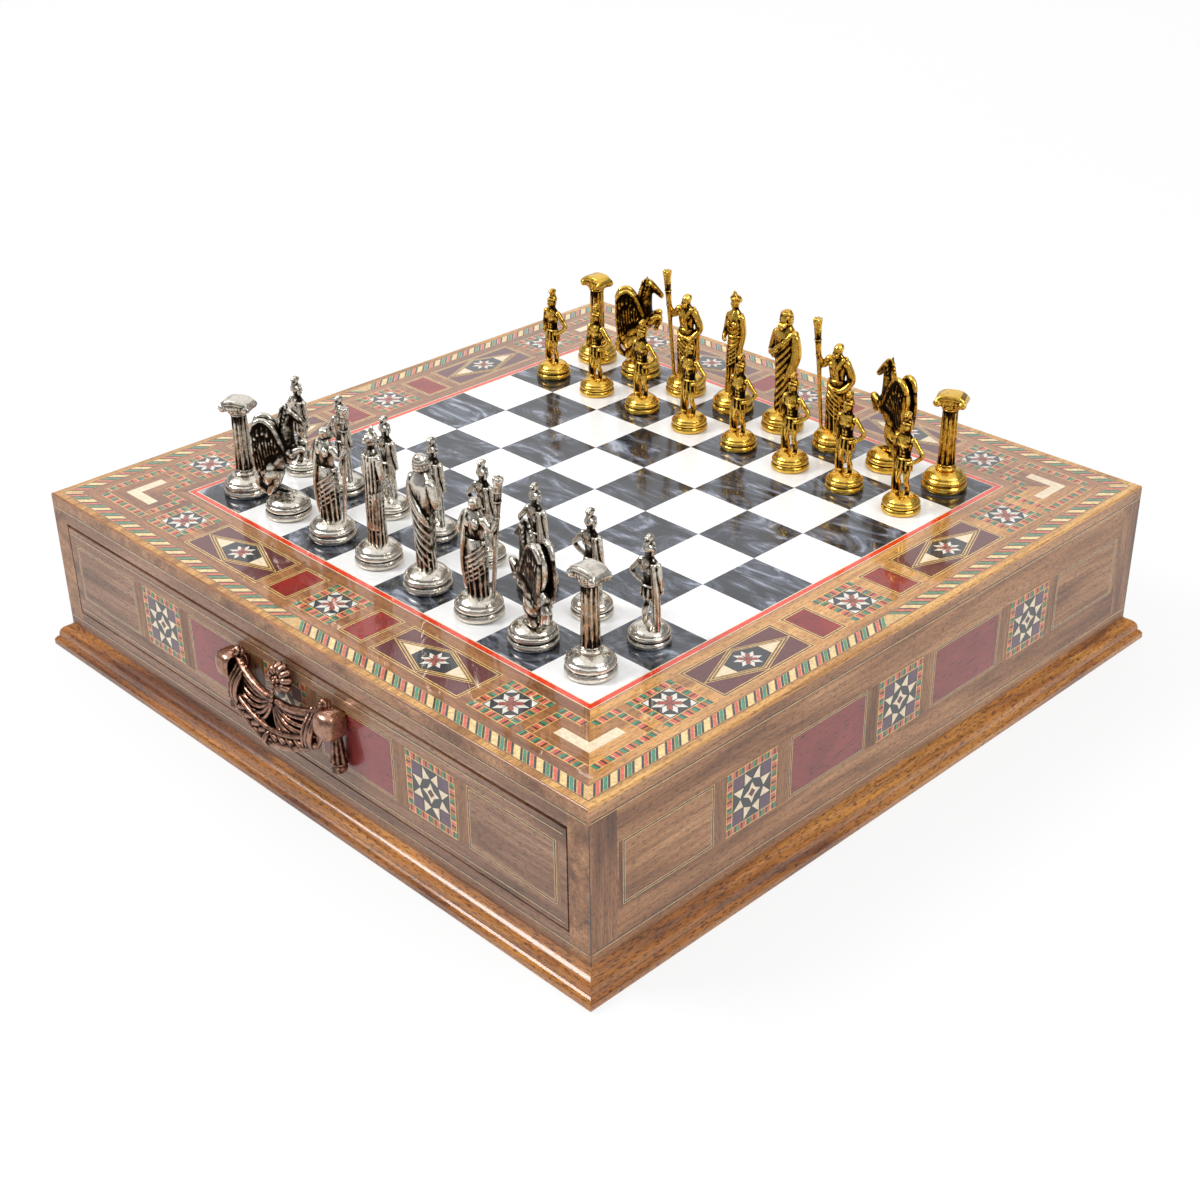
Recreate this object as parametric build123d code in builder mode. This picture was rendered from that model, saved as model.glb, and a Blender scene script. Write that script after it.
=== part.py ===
"""A chess box with a drawer, a marquetry top and a set of cast figures standing on their squares.

Millimetres, +Z up. The origin is the middle of the underside and the drawer's front faces -Y.
"""

import os
from math import cos, pi, radians, sin

from build123d import *

os.makedirs("parts", exist_ok=True)

# Case
case_width = 384.0
case_height = 88.0
side_wall = 11.5
back_wall_thickness = 11.5
base_thickness = 6.0
rail_depth = 14.0
bottom_rail_top = 23.8
top_rail_bottom = 74.6
plinth_projection = 8.0
plinth_height = 13.2

# Board and its inlaid skin
board_thickness = 5.0
inlay_thickness = 1.2
square_size = 35.0
squares_per_side = 8
red_line_width = 3.6
border_edge_radius = 0.8

# Drawer
drawer_front_thickness = 12.0
drawer_side_thickness = 9.0
drawer_side_height = 41.0
drawer_back_thickness = 9.0
drawer_bottom_thickness = 4.0
drawer_bottom_rise = 4.0
groove_depth = 4.0
felt_thickness = 1.5
runner_width = 14.0
drawer_side_gap = 0.8
drawer_top_gap = 1.6
drawer_bottom_gap = 0.8
panel_clearance = 0.15
felt_clearance = 0.4

# Drawer pull
pull_offset = 3.5
pull_height = 59.2
pull_spacing = 76.0
pull_tilt = 16.5
cap_radius = 6.8
cap_stand = 5.6
cap_barrel = 6.0
cap_dome = 5.0
cap_mouth_radius = 4.8
cap_mouth_depth = 3.0
roll_radius = 2.6
roll_rise = 4.0
roll_sag = 6.0
hem_radius = 3.0
hem_drop = 13.0
hem_sag = 9.5
drape_thickness = 3.0
gather_top_radius = 3.0
gather_end_radius = 3.6
knot_radius = 3.8
shell_radius = 8.0
shell_rise = 6.0
shell_thickness = 4.6
bead_radius = 1.6
curl_radius = 2.6
tassel_length = 19.0
tassel_top_radius = 2.4
tassel_end_radius = 3.6
screw_radius = 1.8
screw_clearance = 0.2
screw_head_radius = 4.0
screw_head_height = 2.6
screw_reach = 7.0
screw_tip_gap = 0.5
thread_fit = 0.05

# Figures
figure_base_radius = 11.4
figure_base_height = 11.0
pawn_base_radius = 9.7
pawn_base_height = 9.2
king_height = 66.0
queen_height = 68.0
bishop_height = 56.7
knight_height = 58.0
rook_height = 50.2
pawn_height = 52.5
rook_shaft_radius = 3.9
rook_flute_radius = 0.75
rook_flutes = 10
rook_capital_width = 16.4
rook_capital_depth = 10.8
rook_scroll_radius = 2.5
rook_collar_radius = 5.6
wing_thickness = 2.4

# Room for cuts to pass right through
overrun = 5.0

# Derived places
half_width = case_width / 2
half_inside = half_width - side_wall
skin_bottom = case_height - inlay_thickness
wall_top = skin_bottom - board_thickness
squares_half = square_size * squares_per_side / 2
red_half = squares_half + red_line_width
front_face = -half_width
back_inside = half_width - back_wall_thickness
drawer_half = half_inside - drawer_side_gap
drawer_low = bottom_rail_top + drawer_bottom_gap
drawer_high = top_rail_bottom - drawer_top_gap
drawer_front_back = front_face + drawer_front_thickness
drawer_inner_half = drawer_half - drawer_side_thickness
drawer_panel_low = drawer_low + drawer_bottom_rise
drawer_panel_high = drawer_panel_low + drawer_bottom_thickness


def save(part, name):
    """Label a finished piece and write it."""
    part.label = name
    export_step(part, f"parts/{name}.step")


def block(low, high):
    """A plain board between two corners."""
    size = [end - start for start, end in zip(low, high)]
    with BuildPart() as board:
        with Locations(low):
            Box(*size, align=(Align.MIN, Align.MIN, Align.MIN))
    return board.part


# Case boards
save(block((-half_width, front_face, 0), (-half_inside, half_width, wall_top)), "side_wall_left")
save(block((half_inside, front_face, 0), (half_width, half_width, wall_top)), "side_wall_right")
save(block((-half_inside, back_inside, 0), (half_inside, half_width, wall_top)), "back_wall")
rail_back = front_face + rail_depth
save(block((-half_inside, front_face, top_rail_bottom), (half_inside, rail_back, wall_top)), "front_top_rail")
save(block((-half_inside, front_face, 0), (half_inside, rail_back, bottom_rail_top)), "front_bottom_rail")
save(block((-half_inside, rail_back, 0), (half_inside, back_inside, base_thickness)), "base_panel")
save(block((-half_width, -half_width, wall_top), (half_width, half_width, skin_bottom)), "board_panel")

# Bearers that carry the drawer's sides
runner_inside = half_inside - runner_width
for side, near, far in (("left", -half_inside, -runner_inside), ("right", runner_inside, half_inside)):
    bearer = block((near, rail_back, base_thickness), (far, back_inside, drawer_low))
    save(bearer, f"drawer_runner_{side}")

# Turns about Z, in degrees, that take the front side to each of the four sides
side_turns = {"front": 0, "right": 90, "back": 180, "left": 270}


def mitred(strip, turn):
    """Cut both ends of a strip that lies along the front at 45 degrees, and turn it to its side."""
    with BuildPart() as cut:
        add(strip)
        for hand in (-1, 1):
            edge = Plane(origin=(0, 0, 0), x_dir=(0, 0, 1), z_dir=(hand, 1, 0))
            split(bisect_by=edge, keep=Keep.BOTTOM)
    with BuildPart() as placed:
        with Locations(Rotation(0, 0, turn)):
            add(cut.part)
    return placed.part


# Plinth section: a quirk at the wall, a large ovolo, a small step and a rounded lower face.
# Shares of the plinth's projection and height, outwards and upwards from the wall's foot.
quirk_share = (0.16, 0.90)
ovolo_middle_share = (0.56, 0.76)
ovolo_end_share = (0.74, 0.42)
step_share = (0.86, 0.38)
nose_top_share = (1.0, 0.26)
nose_low_share = (1.0, 0.06)
foot_share = (0.94, 0.0)


def plinth_point(shares):
    """A point of the plinth's section on the plane across the front side."""
    return (-half_width - shares[0] * plinth_projection, shares[1] * plinth_height)


with BuildPart() as plinth_strip:
    with BuildSketch(Plane.YZ):
        with BuildLine():
            Line((-half_width, 0), (-half_width, plinth_height))
            Line((-half_width, plinth_height), plinth_point(quirk_share))
            ThreePointArc(
                plinth_point(quirk_share), plinth_point(ovolo_middle_share), plinth_point(ovolo_end_share)
            )
            Line(plinth_point(ovolo_end_share), plinth_point(step_share))
            Line(plinth_point(step_share), plinth_point(nose_top_share))
            Line(plinth_point(nose_top_share), plinth_point(nose_low_share))
            Line(plinth_point(nose_low_share), plinth_point(foot_share))
            Line(plinth_point(foot_share), (-half_width, 0))
        make_face()
    extrude(amount=half_width + plinth_projection + overrun, both=True)

for side, turn in side_turns.items():
    save(mitred(plinth_strip.part, turn), f"plinth_{side}")

# Marquetry border, mitred, with a softened outer edge
with BuildPart() as border_strip:
    with BuildSketch(Plane.YZ):
        with BuildLine():
            Polyline(
                (-red_half, skin_bottom),
                (-half_width, skin_bottom),
                (-half_width, case_height - border_edge_radius),
            )
            RadiusArc(
                (-half_width, case_height - border_edge_radius),
                (-half_width + border_edge_radius, case_height),
                border_edge_radius,
            )
            Polyline(
                (-half_width + border_edge_radius, case_height),
                (-red_half, case_height),
                (-red_half, skin_bottom),
            )
        make_face()
    extrude(amount=half_width + overrun, both=True)

for side, turn in side_turns.items():
    save(mitred(border_strip.part, turn), f"border_{side}")

# Red line round the squares: four mitred strips in one node
red_strip = block((-half_width, -red_half, skin_bottom), (half_width, -squares_half, case_height))
red_strips = [mitred(red_strip, turn) for turn in side_turns.values()]
save(Compound(children=red_strips), "red_stringing")

# Squares, dark in the left front corner
square_places = {"dark_squares": [], "white_squares": []}
for column in range(squares_per_side):
    for row in range(squares_per_side):
        tone = "dark_squares" if (column + row) % 2 == 0 else "white_squares"
        square_places[tone].append((column * square_size - squares_half, row * square_size - squares_half))

for tone, places in square_places.items():
    tiles = [
        block((x, y, skin_bottom), (x + square_size, y + square_size, case_height)) for x, y in places
    ]
    save(Compound(children=tiles), tone)

# Drawer
pull_holes = [pull_offset + hand * pull_spacing / 2 for hand in (-1, 1)]

with BuildPart() as drawer_front:
    add(block((-drawer_half, front_face, drawer_low), (drawer_half, drawer_front_back, drawer_high)))
    groove_low = drawer_panel_low - panel_clearance
    groove_high = drawer_panel_high + panel_clearance
    groove_half = drawer_inner_half + groove_depth
    groove = block(
        (-groove_half, drawer_front_back - groove_depth, groove_low),
        (groove_half, drawer_front_back + overrun, groove_high),
    )
    add(groove, mode=Mode.SUBTRACT)
    for place in pull_holes:
        with Locations(Plane(origin=(place, front_face, pull_height), z_dir=(0, -1, 0))):
            Hole(screw_radius + screw_clearance)
save(drawer_front.part, "drawer_front")

for side, hand in (("left", -1), ("right", 1)):
    outer, inner = hand * drawer_half, hand * drawer_inner_half
    with BuildPart() as drawer_side:
        add(
            block(
                (min(outer, inner), drawer_front_back, drawer_low),
                (max(outer, inner), back_inside, drawer_low + drawer_side_height),
            )
        )
        groove_wall = hand * groove_half
        add(
            block(
                (min(inner, groove_wall), drawer_front_back - overrun, groove_low),
                (max(inner, groove_wall), back_inside - drawer_back_thickness, groove_high),
            ),
            mode=Mode.SUBTRACT,
        )
    save(drawer_side.part, f"drawer_side_{side}")

drawer_back_front = back_inside - drawer_back_thickness
save(
    block(
        (-drawer_inner_half, drawer_back_front, drawer_low),
        (drawer_inner_half, back_inside, drawer_low + drawer_side_height),
    ),
    "drawer_back",
)
panel_half = groove_half - panel_clearance
save(
    block(
        (-panel_half, drawer_front_back - groove_depth + panel_clearance, drawer_panel_low),
        (panel_half, drawer_back_front - panel_clearance, drawer_panel_high),
    ),
    "drawer_bottom",
)
felt_half = drawer_inner_half - felt_clearance
save(
    block(
        (-felt_half, drawer_front_back + felt_clearance, drawer_panel_high),
        (felt_half, drawer_back_front - felt_clearance, drawer_panel_high + felt_thickness),
    ),
    "drawer_felt",
)

# Drawer pull: a draped swag hung between two capped posts, leaning out towards its hem
cap_axis = -half_width - cap_stand
pull_half = pull_spacing / 2
swag_plane = Plane(
    origin=(pull_offset, cap_axis, pull_height),
    x_dir=(1, 0, 0),
    z_dir=(0, -1, sin(radians(pull_tilt))),
)
swag_half = pull_half - cap_barrel + cap_mouth_depth
hem_half = swag_half - gather_end_radius
roll_low = (0, roll_rise - roll_sag)
hem_low = (0, -hem_drop - hem_sag)


def limb(start, end, start_radius, end_radius, swell):
    """A tapered round bar between two points, with a ball at each end."""
    path = Vector(*end) - Vector(*start)
    with Locations(Plane(origin=start, z_dir=path)):
        Cone(start_radius, end_radius, path.length, align=(Align.CENTER, Align.CENTER, Align.MIN))
    with Locations(start):
        Sphere(start_radius * swell)
    with Locations(end):
        Sphere(end_radius * swell)


joint_swell_share = 1.06

with BuildPart() as drawer_pull:
    # Upper roll of the drape and its hem
    for reach, level, low, radius in (
        (swag_half, roll_rise, roll_low, roll_radius),
        (hem_half, -hem_drop, hem_low, hem_radius),
    ):
        with BuildLine(swag_plane) as rail:
            ThreePointArc((-reach, level), low, (reach, level))
        with BuildSketch(Plane(origin=rail.line @ 0, z_dir=rail.line % 0)):
            Circle(radius)
        sweep(path=rail.line)
    # The drape between them
    with BuildSketch(swag_plane):
        with BuildLine():
            ThreePointArc((-swag_half, roll_rise), roll_low, (swag_half, roll_rise))
            Line((swag_half, roll_rise), (hem_half, -hem_drop))
            ThreePointArc((hem_half, -hem_drop), hem_low, (-hem_half, -hem_drop))
            Line((-hem_half, -hem_drop), (-swag_half, roll_rise))
        make_face()
    extrude(amount=drape_thickness / 2, both=True)
    # Gathers at the ends, the knot on the hem and the curls above the caps
    for hand in (-1, 1):
        gather_top = swag_plane.from_local_coords((hand * swag_half, roll_rise, 0))
        gather_end = swag_plane.from_local_coords((hand * hem_half, -hem_drop, 0))
        limb(gather_top, gather_end, gather_top_radius, gather_end_radius, joint_swell_share)
        with Locations(swag_plane.from_local_coords((hand * swag_half, cap_radius, 0))):
            Sphere(curl_radius)
    with Locations(swag_plane.from_local_coords((*hem_low, 0))):
        Sphere(knot_radius)
    # Shell with its bead over the middle of the drape
    with BuildSketch(swag_plane):
        with Locations((0, shell_rise)):
            Circle(shell_radius)
    extrude(amount=shell_thickness / 2, both=True)
    with Locations(swag_plane.from_local_coords((0, shell_rise, shell_thickness / 2))):
        Sphere(bead_radius)
    # Caps: domed outwards, with a hollow mouth towards the drape
    for hand in (-1, 1):
        cap_middle = (pull_offset + hand * pull_half, cap_axis, pull_height)
        cap_plane = Plane(origin=cap_middle, x_dir=(0, 0, 1), z_dir=(hand, 0, 0))
        with BuildSketch(Plane(cap_plane.origin, x_dir=cap_plane.z_dir, z_dir=(0, -1, 0))):
            with BuildLine():
                Polyline(
                    (cap_dome, 0),
                    (cap_mouth_depth - cap_barrel, 0),
                    (cap_mouth_depth - cap_barrel, cap_mouth_radius),
                    (-cap_barrel, cap_mouth_radius),
                    (-cap_barrel, cap_radius),
                    (0, cap_radius),
                )
                EllipticalCenterArc((0, 0), cap_dome, cap_radius, start_angle=0, arc_size=90)
            make_face()
        revolve(axis=Axis(cap_plane.origin, cap_plane.z_dir))
        # Tassel hanging below the cap
        tassel_top = (pull_offset + hand * pull_half, cap_axis, pull_height - cap_radius / 2)
        tassel_end = (pull_offset + hand * pull_half, cap_axis, pull_height - cap_radius - tassel_length)
        limb(tassel_top, tassel_end, tassel_top_radius, tassel_end_radius, joint_swell_share)
    # Flat back against the drawer, and a blind hole for each screw
    split(bisect_by=Plane(origin=(0, front_face, 0), z_dir=(0, -1, 0)), keep=Keep.TOP)
    for place in pull_holes:
        with Locations(Plane(origin=(place, front_face, pull_height), z_dir=(0, -1, 0))):
            Cylinder(
                screw_radius + thread_fit,
                screw_reach + screw_tip_gap,
                align=(Align.CENTER, Align.CENTER, Align.MIN),
                mode=Mode.SUBTRACT,
            )
save(drawer_pull.part, "drawer_pull")

screws = []
for place in pull_holes:
    with BuildPart() as screw:
        with Locations(Plane(origin=(place, drawer_front_back, pull_height), z_dir=(0, -1, 0))):
            Cylinder(
                screw_radius,
                drawer_front_thickness + screw_reach,
                align=(Align.CENTER, Align.CENTER, Align.MIN),
            )
            Cylinder(screw_head_radius, screw_head_height, align=(Align.CENTER, Align.CENTER, Align.MAX))
    screws.append(screw.part)
save(Compound(children=screws), "pull_screws")

# Figures. Each is made standing at the origin and facing +Y, and its tables are shares of its height:
# sections are height, half width, sideways and forwards; points are sideways, forwards, height.
facets = 12
ball_rings = 6
cap_reach_share = 0.55
cap_radius_share = 0.62
base_edge_shares = [(1.0, 0.16), (0.93, 0.38), (0.95, 0.52), (0.87, 0.66)]
dome_shoulder_share = (0.62, 0.88)
dome_flat_share = 0.14


def turned_base(radius, height):
    """A round stepped base with two rounded rings and a domed top."""
    ring, groove, second, ledge = [(across * radius, up * height) for across, up in base_edge_shares]
    shoulder = (dome_shoulder_share[0] * radius, dome_shoulder_share[1] * height)
    with BuildPart() as base:
        with BuildSketch(Plane.XZ):
            with BuildLine():
                Line((0, 0), (groove[0], 0))
                ThreePointArc((groove[0], 0), ring, groove)
                ThreePointArc(groove, second, ledge)
                ThreePointArc(ledge, shoulder, (dome_flat_share * radius, height))
                Polyline((dome_flat_share * radius, height), (0, height), (0, 0))
            make_face()
        revolve(axis=Axis.Z)
    return base.part


def ring(plane, half_across, half_deep):
    """The corners of an oval drawn with straight sides on a plane."""
    turns = [2 * pi * step / facets for step in range(facets)]
    return [plane.from_local_coords((half_across * cos(turn), half_deep * sin(turn), 0)) for turn in turns]


def faceted(rings):
    """A closed solid through rings of corners, with a flat face between each pair of neighbours."""
    faces = [Face(Wire.make_polygon(rings[0])), Face(Wire.make_polygon(rings[-1]))]
    for lower, upper in zip(rings, rings[1:]):
        for step in range(facets):
            after = (step + 1) % facets
            faces.append(Face(Wire.make_polygon([lower[step], lower[after], upper[after], upper[step]])))
    return Solid(Shell(faces))


def rounded_bar(start, end, start_radius, end_radius):
    """A tapered bar between two points, rounded past both ends."""
    path = end - start
    direction = path.normalized()
    stops = [(start - direction * (start_radius * cap_reach_share), start_radius * cap_radius_share)]
    stops += [(start, start_radius), (end, end_radius)]
    stops += [(end + direction * (end_radius * cap_reach_share), end_radius * cap_radius_share)]
    return faceted([ring(Plane(origin=place, z_dir=direction), radius, radius) for place, radius in stops])


def ball(centre, radius):
    """A rounded mass."""
    rings = []
    for step in range(ball_rings):
        turn = pi * (step + 0.5) / ball_rings
        place = centre - Vector(0, 0, radius * cos(turn))
        rings.append(ring(Plane(origin=place), radius * sin(turn), radius * sin(turn)))
    return faceted(rings)


def figure(base, height, depth_share, sections, limbs, balls):
    """A cast figure on its base: a draped body, with limbs and rounded masses."""
    rings = [
        ring(Plane(origin=Vector(aside, ahead, up) * height), across * height, across * depth_share * height)
        for up, across, aside, ahead in sections
    ]
    masses = [faceted(rings)]
    for points, radius_shares in limbs:
        places = [Vector(*point) * height for point in points]
        radii = [share * height for share in radius_shares]
        masses += [rounded_bar(*bar) for bar in zip(places, places[1:], radii, radii[1:])]
    masses += [ball(Vector(*point) * height, share * height) for point, share in balls]
    with BuildPart() as cast:
        add(base)
        for mass in masses:
            add(mass)
    return cast.part


major_base = turned_base(figure_base_radius, figure_base_height)
pawn_base = turned_base(pawn_base_radius, pawn_base_height)

# King: a bearded figure in a long wrapped cloak
king_depth_share = 0.78
king_section_shares = [
    (0.10, 0.074, 0.0, 0.0),
    (0.30, 0.076, 0.0, 0.0),
    (0.48, 0.082, 0.0, 0.0),
    (0.66, 0.092, 0.0, 0.0),
    (0.79, 0.098, 0.0, 0.0),
    (0.845, 0.070, 0.0, 0.0),
    (0.905, 0.036, 0.0, 0.004),
]
king_limb_shares = [
    ([(0.095, 0.0, 0.79), (0.125, 0.01, 0.64), (0.02, 0.085, 0.67)], [0.036, 0.032, 0.026]),
    ([(-0.09, 0.0, 0.79), (-0.112, 0.01, 0.60), (-0.075, 0.07, 0.50)], [0.040, 0.042, 0.034]),
]
king_ball_shares = [
    ((0.0, 0.006, 0.930), 0.054),
    ((0.0, -0.010, 0.952), 0.048),
    ((0.0, 0.040, 0.888), 0.034),
]

# Queen: a slender figure in a long gown with a raised diadem
queen_depth_share = 0.84
queen_section_shares = [
    (0.10, 0.070, 0.0, 0.0),
    (0.30, 0.062, 0.0, 0.0),
    (0.50, 0.066, 0.0, 0.0),
    (0.62, 0.058, 0.0, 0.0),
    (0.74, 0.070, 0.0, 0.004),
    (0.79, 0.062, 0.0, 0.0),
    (0.870, 0.028, 0.0, 0.0),
]
queen_limb_shares = [
    ([(0.068, 0.0, 0.77), (0.092, 0.004, 0.63), (0.058, 0.062, 0.585)], [0.028, 0.025, 0.020]),
    ([(-0.068, 0.0, 0.77), (-0.090, 0.004, 0.62), (-0.080, 0.040, 0.50)], [0.028, 0.025, 0.020]),
    ([(0.0, -0.012, 0.935), (0.0, 0.012, 0.972)], [0.042, 0.026]),
]
queen_ball_shares = [((0.0, 0.004, 0.892), 0.047), ((0.0, -0.044, 0.905), 0.026)]

# Bishop: a bare-chested figure in a wrapped skirt, with a tall torch-like staff in the right hand
bishop_depth_share = 0.76
bishop_section_shares = [
    (0.12, 0.086, 0.0, 0.0),
    (0.34, 0.092, 0.0, 0.0),
    (0.54, 0.100, 0.0, 0.0),
    (0.66, 0.078, 0.0, 0.0),
    (0.80, 0.100, 0.0, 0.004),
    (0.855, 0.074, 0.0, 0.0),
    (0.925, 0.036, 0.0, 0.0),
]
bishop_limb_shares = [
    ([(0.105, 0.0, 0.82), (0.150, 0.03, 0.76), (0.178, 0.06, 0.86)], [0.036, 0.030, 0.026]),
    ([(-0.105, 0.0, 0.82), (-0.160, -0.02, 0.68), (-0.075, 0.060, 0.58)], [0.036, 0.031, 0.026]),
    ([(0.120, 0.045, 0.13), (0.172, 0.06, 0.80), (0.200, 0.068, 1.165)], [0.018, 0.024, 0.036]),
]
bishop_ball_shares = [
    ((0.0, 0.006, 0.944), 0.054),
    ((0.200, 0.068, 1.170), 0.048),
]

# Pawn: a standing soldier in a crested helmet, left hand on the hip, a hung cloak at the right side
pawn_depth_share = 0.72
pawn_section_shares = [
    (0.43, 0.080, 0.0, 0.0),
    (0.53, 0.074, 0.0, 0.0),
    (0.60, 0.066, 0.0, 0.0),
    (0.70, 0.094, 0.0, 0.004),
    (0.755, 0.078, 0.0, 0.0),
    (0.825, 0.032, 0.0, 0.0),
]
pawn_limb_shares = [
    ([(-0.042, 0.0, 0.48), (-0.052, 0.028, 0.33), (-0.050, 0.010, 0.13)], [0.044, 0.036, 0.030]),
    ([(0.044, 0.0, 0.48), (0.052, 0.012, 0.33), (0.052, -0.010, 0.13)], [0.044, 0.036, 0.030]),
    ([(-0.090, 0.0, 0.73), (-0.190, -0.012, 0.61), (-0.076, 0.030, 0.50)], [0.032, 0.027, 0.025]),
    ([(0.094, 0.0, 0.73), (0.116, -0.01, 0.50), (0.104, -0.030, 0.14)], [0.032, 0.036, 0.042]),
    ([(0.0, -0.052, 0.890), (0.0, 0.0, 0.966), (0.0, 0.048, 0.930)], [0.026, 0.034, 0.024]),
]
pawn_ball_shares = [((0.0, 0.004, 0.845), 0.056), ((0.0, -0.008, 0.868), 0.058)]

# Knight: a winged horse rearing on its hind legs
knight_depth_share = 1.08
knight_section_shares = [
    (0.34, 0.082, 0.0, -0.100),
    (0.44, 0.098, 0.0, -0.072),
    (0.54, 0.094, 0.0, -0.010),
    (0.64, 0.078, 0.0, 0.050),
    (0.76, 0.056, 0.0, 0.064),
    (0.88, 0.044, 0.0, 0.066),
    (0.95, 0.034, 0.0, 0.070),
]
knight_leg_shares = [
    ([(0.060, -0.105, 0.38), (0.056, -0.106, 0.23), (0.054, 0.050, 0.145)], [0.066, 0.040, 0.034]),
    ([(0.060, 0.075, 0.58), (0.062, 0.175, 0.625), (0.060, 0.155, 0.520)], [0.044, 0.032, 0.027]),
]
knight_head_shares = [
    ([(0.0, 0.080, 0.935), (0.0, 0.140, 0.875), (0.0, 0.196, 0.810)], [0.054, 0.044, 0.032]),
    ([(0.0, -0.170, 0.40), (0.0, -0.205, 0.30), (0.0, -0.130, 0.20)], [0.030, 0.040, 0.030]),
]
knight_ear_shares = [([(0.026, 0.062, 0.95), (0.030, 0.060, 0.992)], [0.018, 0.008])]
mirrored_legs = [
    ([(-aside, ahead, up) for aside, ahead, up in points], radii)
    for points, radii in knight_leg_shares + knight_ear_shares
]
knight_limb_shares = knight_leg_shares + knight_ear_shares + mirrored_legs + knight_head_shares
knight_ball_shares = [((0.0, -0.110, 0.42), 0.100)]
wing_outline_shares = [
    (0.060, 0.50),
    (0.0, 0.64),
    (-0.085, 0.845),
    (-0.155, 0.885),
    (-0.240, 0.800),
    (-0.248, 0.62),
    (-0.215, 0.44),
    (-0.150, 0.56),
    (-0.050, 0.50),
]
wing_gap_share = 0.062

# Rook: a fluted column on a taller base, with a scrolled capital
rook_foot_share = 0.22
rook_neck_share = 0.86
rook_scroll_share = 0.92


def finished_knight():
    """The horse with its pair of raised wings."""
    horse = figure(
        major_base,
        knight_height,
        knight_depth_share,
        knight_section_shares,
        knight_limb_shares,
        knight_ball_shares,
    )
    outline = [(ahead * knight_height, up * knight_height) for ahead, up in wing_outline_shares]
    with BuildPart() as winged:
        add(horse)
        for hand in (-1, 1):
            with BuildSketch(Plane.YZ.offset(hand * wing_gap_share * knight_height)):
                with BuildLine():
                    Spline(outline, periodic=True)
                make_face()
            extrude(amount=hand * wing_thickness)
    return winged.part


def finished_rook():
    """A fluted column between a collar and a scrolled capital."""
    foot, neck = rook_foot_share * rook_height, rook_neck_share * rook_height
    scroll_level = rook_scroll_share * rook_height
    scroll_reach = rook_capital_width / 2 - rook_scroll_radius
    with BuildPart() as column:
        add(major_base)
        with BuildSketch(Plane.XY):
            Circle(rook_shaft_radius)
            with PolarLocations(rook_shaft_radius, rook_flutes):
                Circle(rook_flute_radius, mode=Mode.SUBTRACT)
        extrude(amount=scroll_level)
        for level in (foot, neck):
            with Locations((0, 0, level)):
                Torus(rook_shaft_radius, rook_collar_radius - rook_shaft_radius)
        with BuildSketch(Plane.XZ):
            with BuildLine():
                Polyline(
                    (scroll_reach, rook_height - rook_scroll_radius),
                    (scroll_reach, scroll_level - rook_scroll_radius),
                    (-scroll_reach, scroll_level - rook_scroll_radius),
                    (-scroll_reach, rook_height - rook_scroll_radius),
                )
                ThreePointArc(
                    (-scroll_reach, rook_height - rook_scroll_radius),
                    (0, rook_height),
                    (scroll_reach, rook_height - rook_scroll_radius),
                )
            make_face()
            with Locations((-scroll_reach, scroll_level), (scroll_reach, scroll_level)):
                Circle(rook_scroll_radius)
        extrude(amount=rook_capital_depth / 2, both=True)
    return column.part


figures = {
    "king": figure(
        major_base,
        king_height,
        king_depth_share,
        king_section_shares,
        king_limb_shares,
        king_ball_shares,
    ),
    "queen": figure(
        major_base,
        queen_height,
        queen_depth_share,
        queen_section_shares,
        queen_limb_shares,
        queen_ball_shares,
    ),
    "bishop": figure(
        major_base,
        bishop_height,
        bishop_depth_share,
        bishop_section_shares,
        bishop_limb_shares,
        bishop_ball_shares,
    ),
    "knight": finished_knight(),
    "rook": finished_rook(),
    "pawn": figure(
        pawn_base,
        pawn_height,
        pawn_depth_share,
        pawn_section_shares,
        pawn_limb_shares,
        pawn_ball_shares,
    ),
}

# The back rank from file a to file h, and how far some figures stand turned from facing straight ahead
files = "abcdefgh"
back_rank = ["rook", "knight", "bishop", "queen", "king", "bishop", "knight", "rook"]
sides = {"silver": (0, 1, 0), "gold": (7, 6, 180)}
turned_aside = {
    "silver_rook_a": 30,
    "silver_knight_b": -45,
    "silver_knight_g": 75,
    "gold_rook_h": 25,
    "gold_knight_b": 135,
    "gold_knight_g": 255,
}


def stand(kind, name, column, row, facing):
    """Put a figure on its square and write it."""
    half_square = square_size / 2
    across = column * square_size + half_square - squares_half
    along = row * square_size + half_square - squares_half
    with BuildPart() as placed:
        with Locations(Location((across, along, case_height), (0, 0, facing + turned_aside.get(name, 0)))):
            add(figures[kind])
    save(placed.part, name)


for metal, (rank, pawn_rank, facing) in sides.items():
    for column, letter in enumerate(files):
        kind = back_rank[column]
        name = f"{metal}_{kind}" if kind in ("king", "queen") else f"{metal}_{kind}_{letter}"
        stand(kind, name, column, rank, facing)
        stand("pawn", f"{metal}_pawn_{letter}", column, pawn_rank, facing)
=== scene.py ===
from math import atan2, cos, pi, radians, sin

import bmesh
import bpy
import numpy as np
from mathutils import Matrix, Vector


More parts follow.
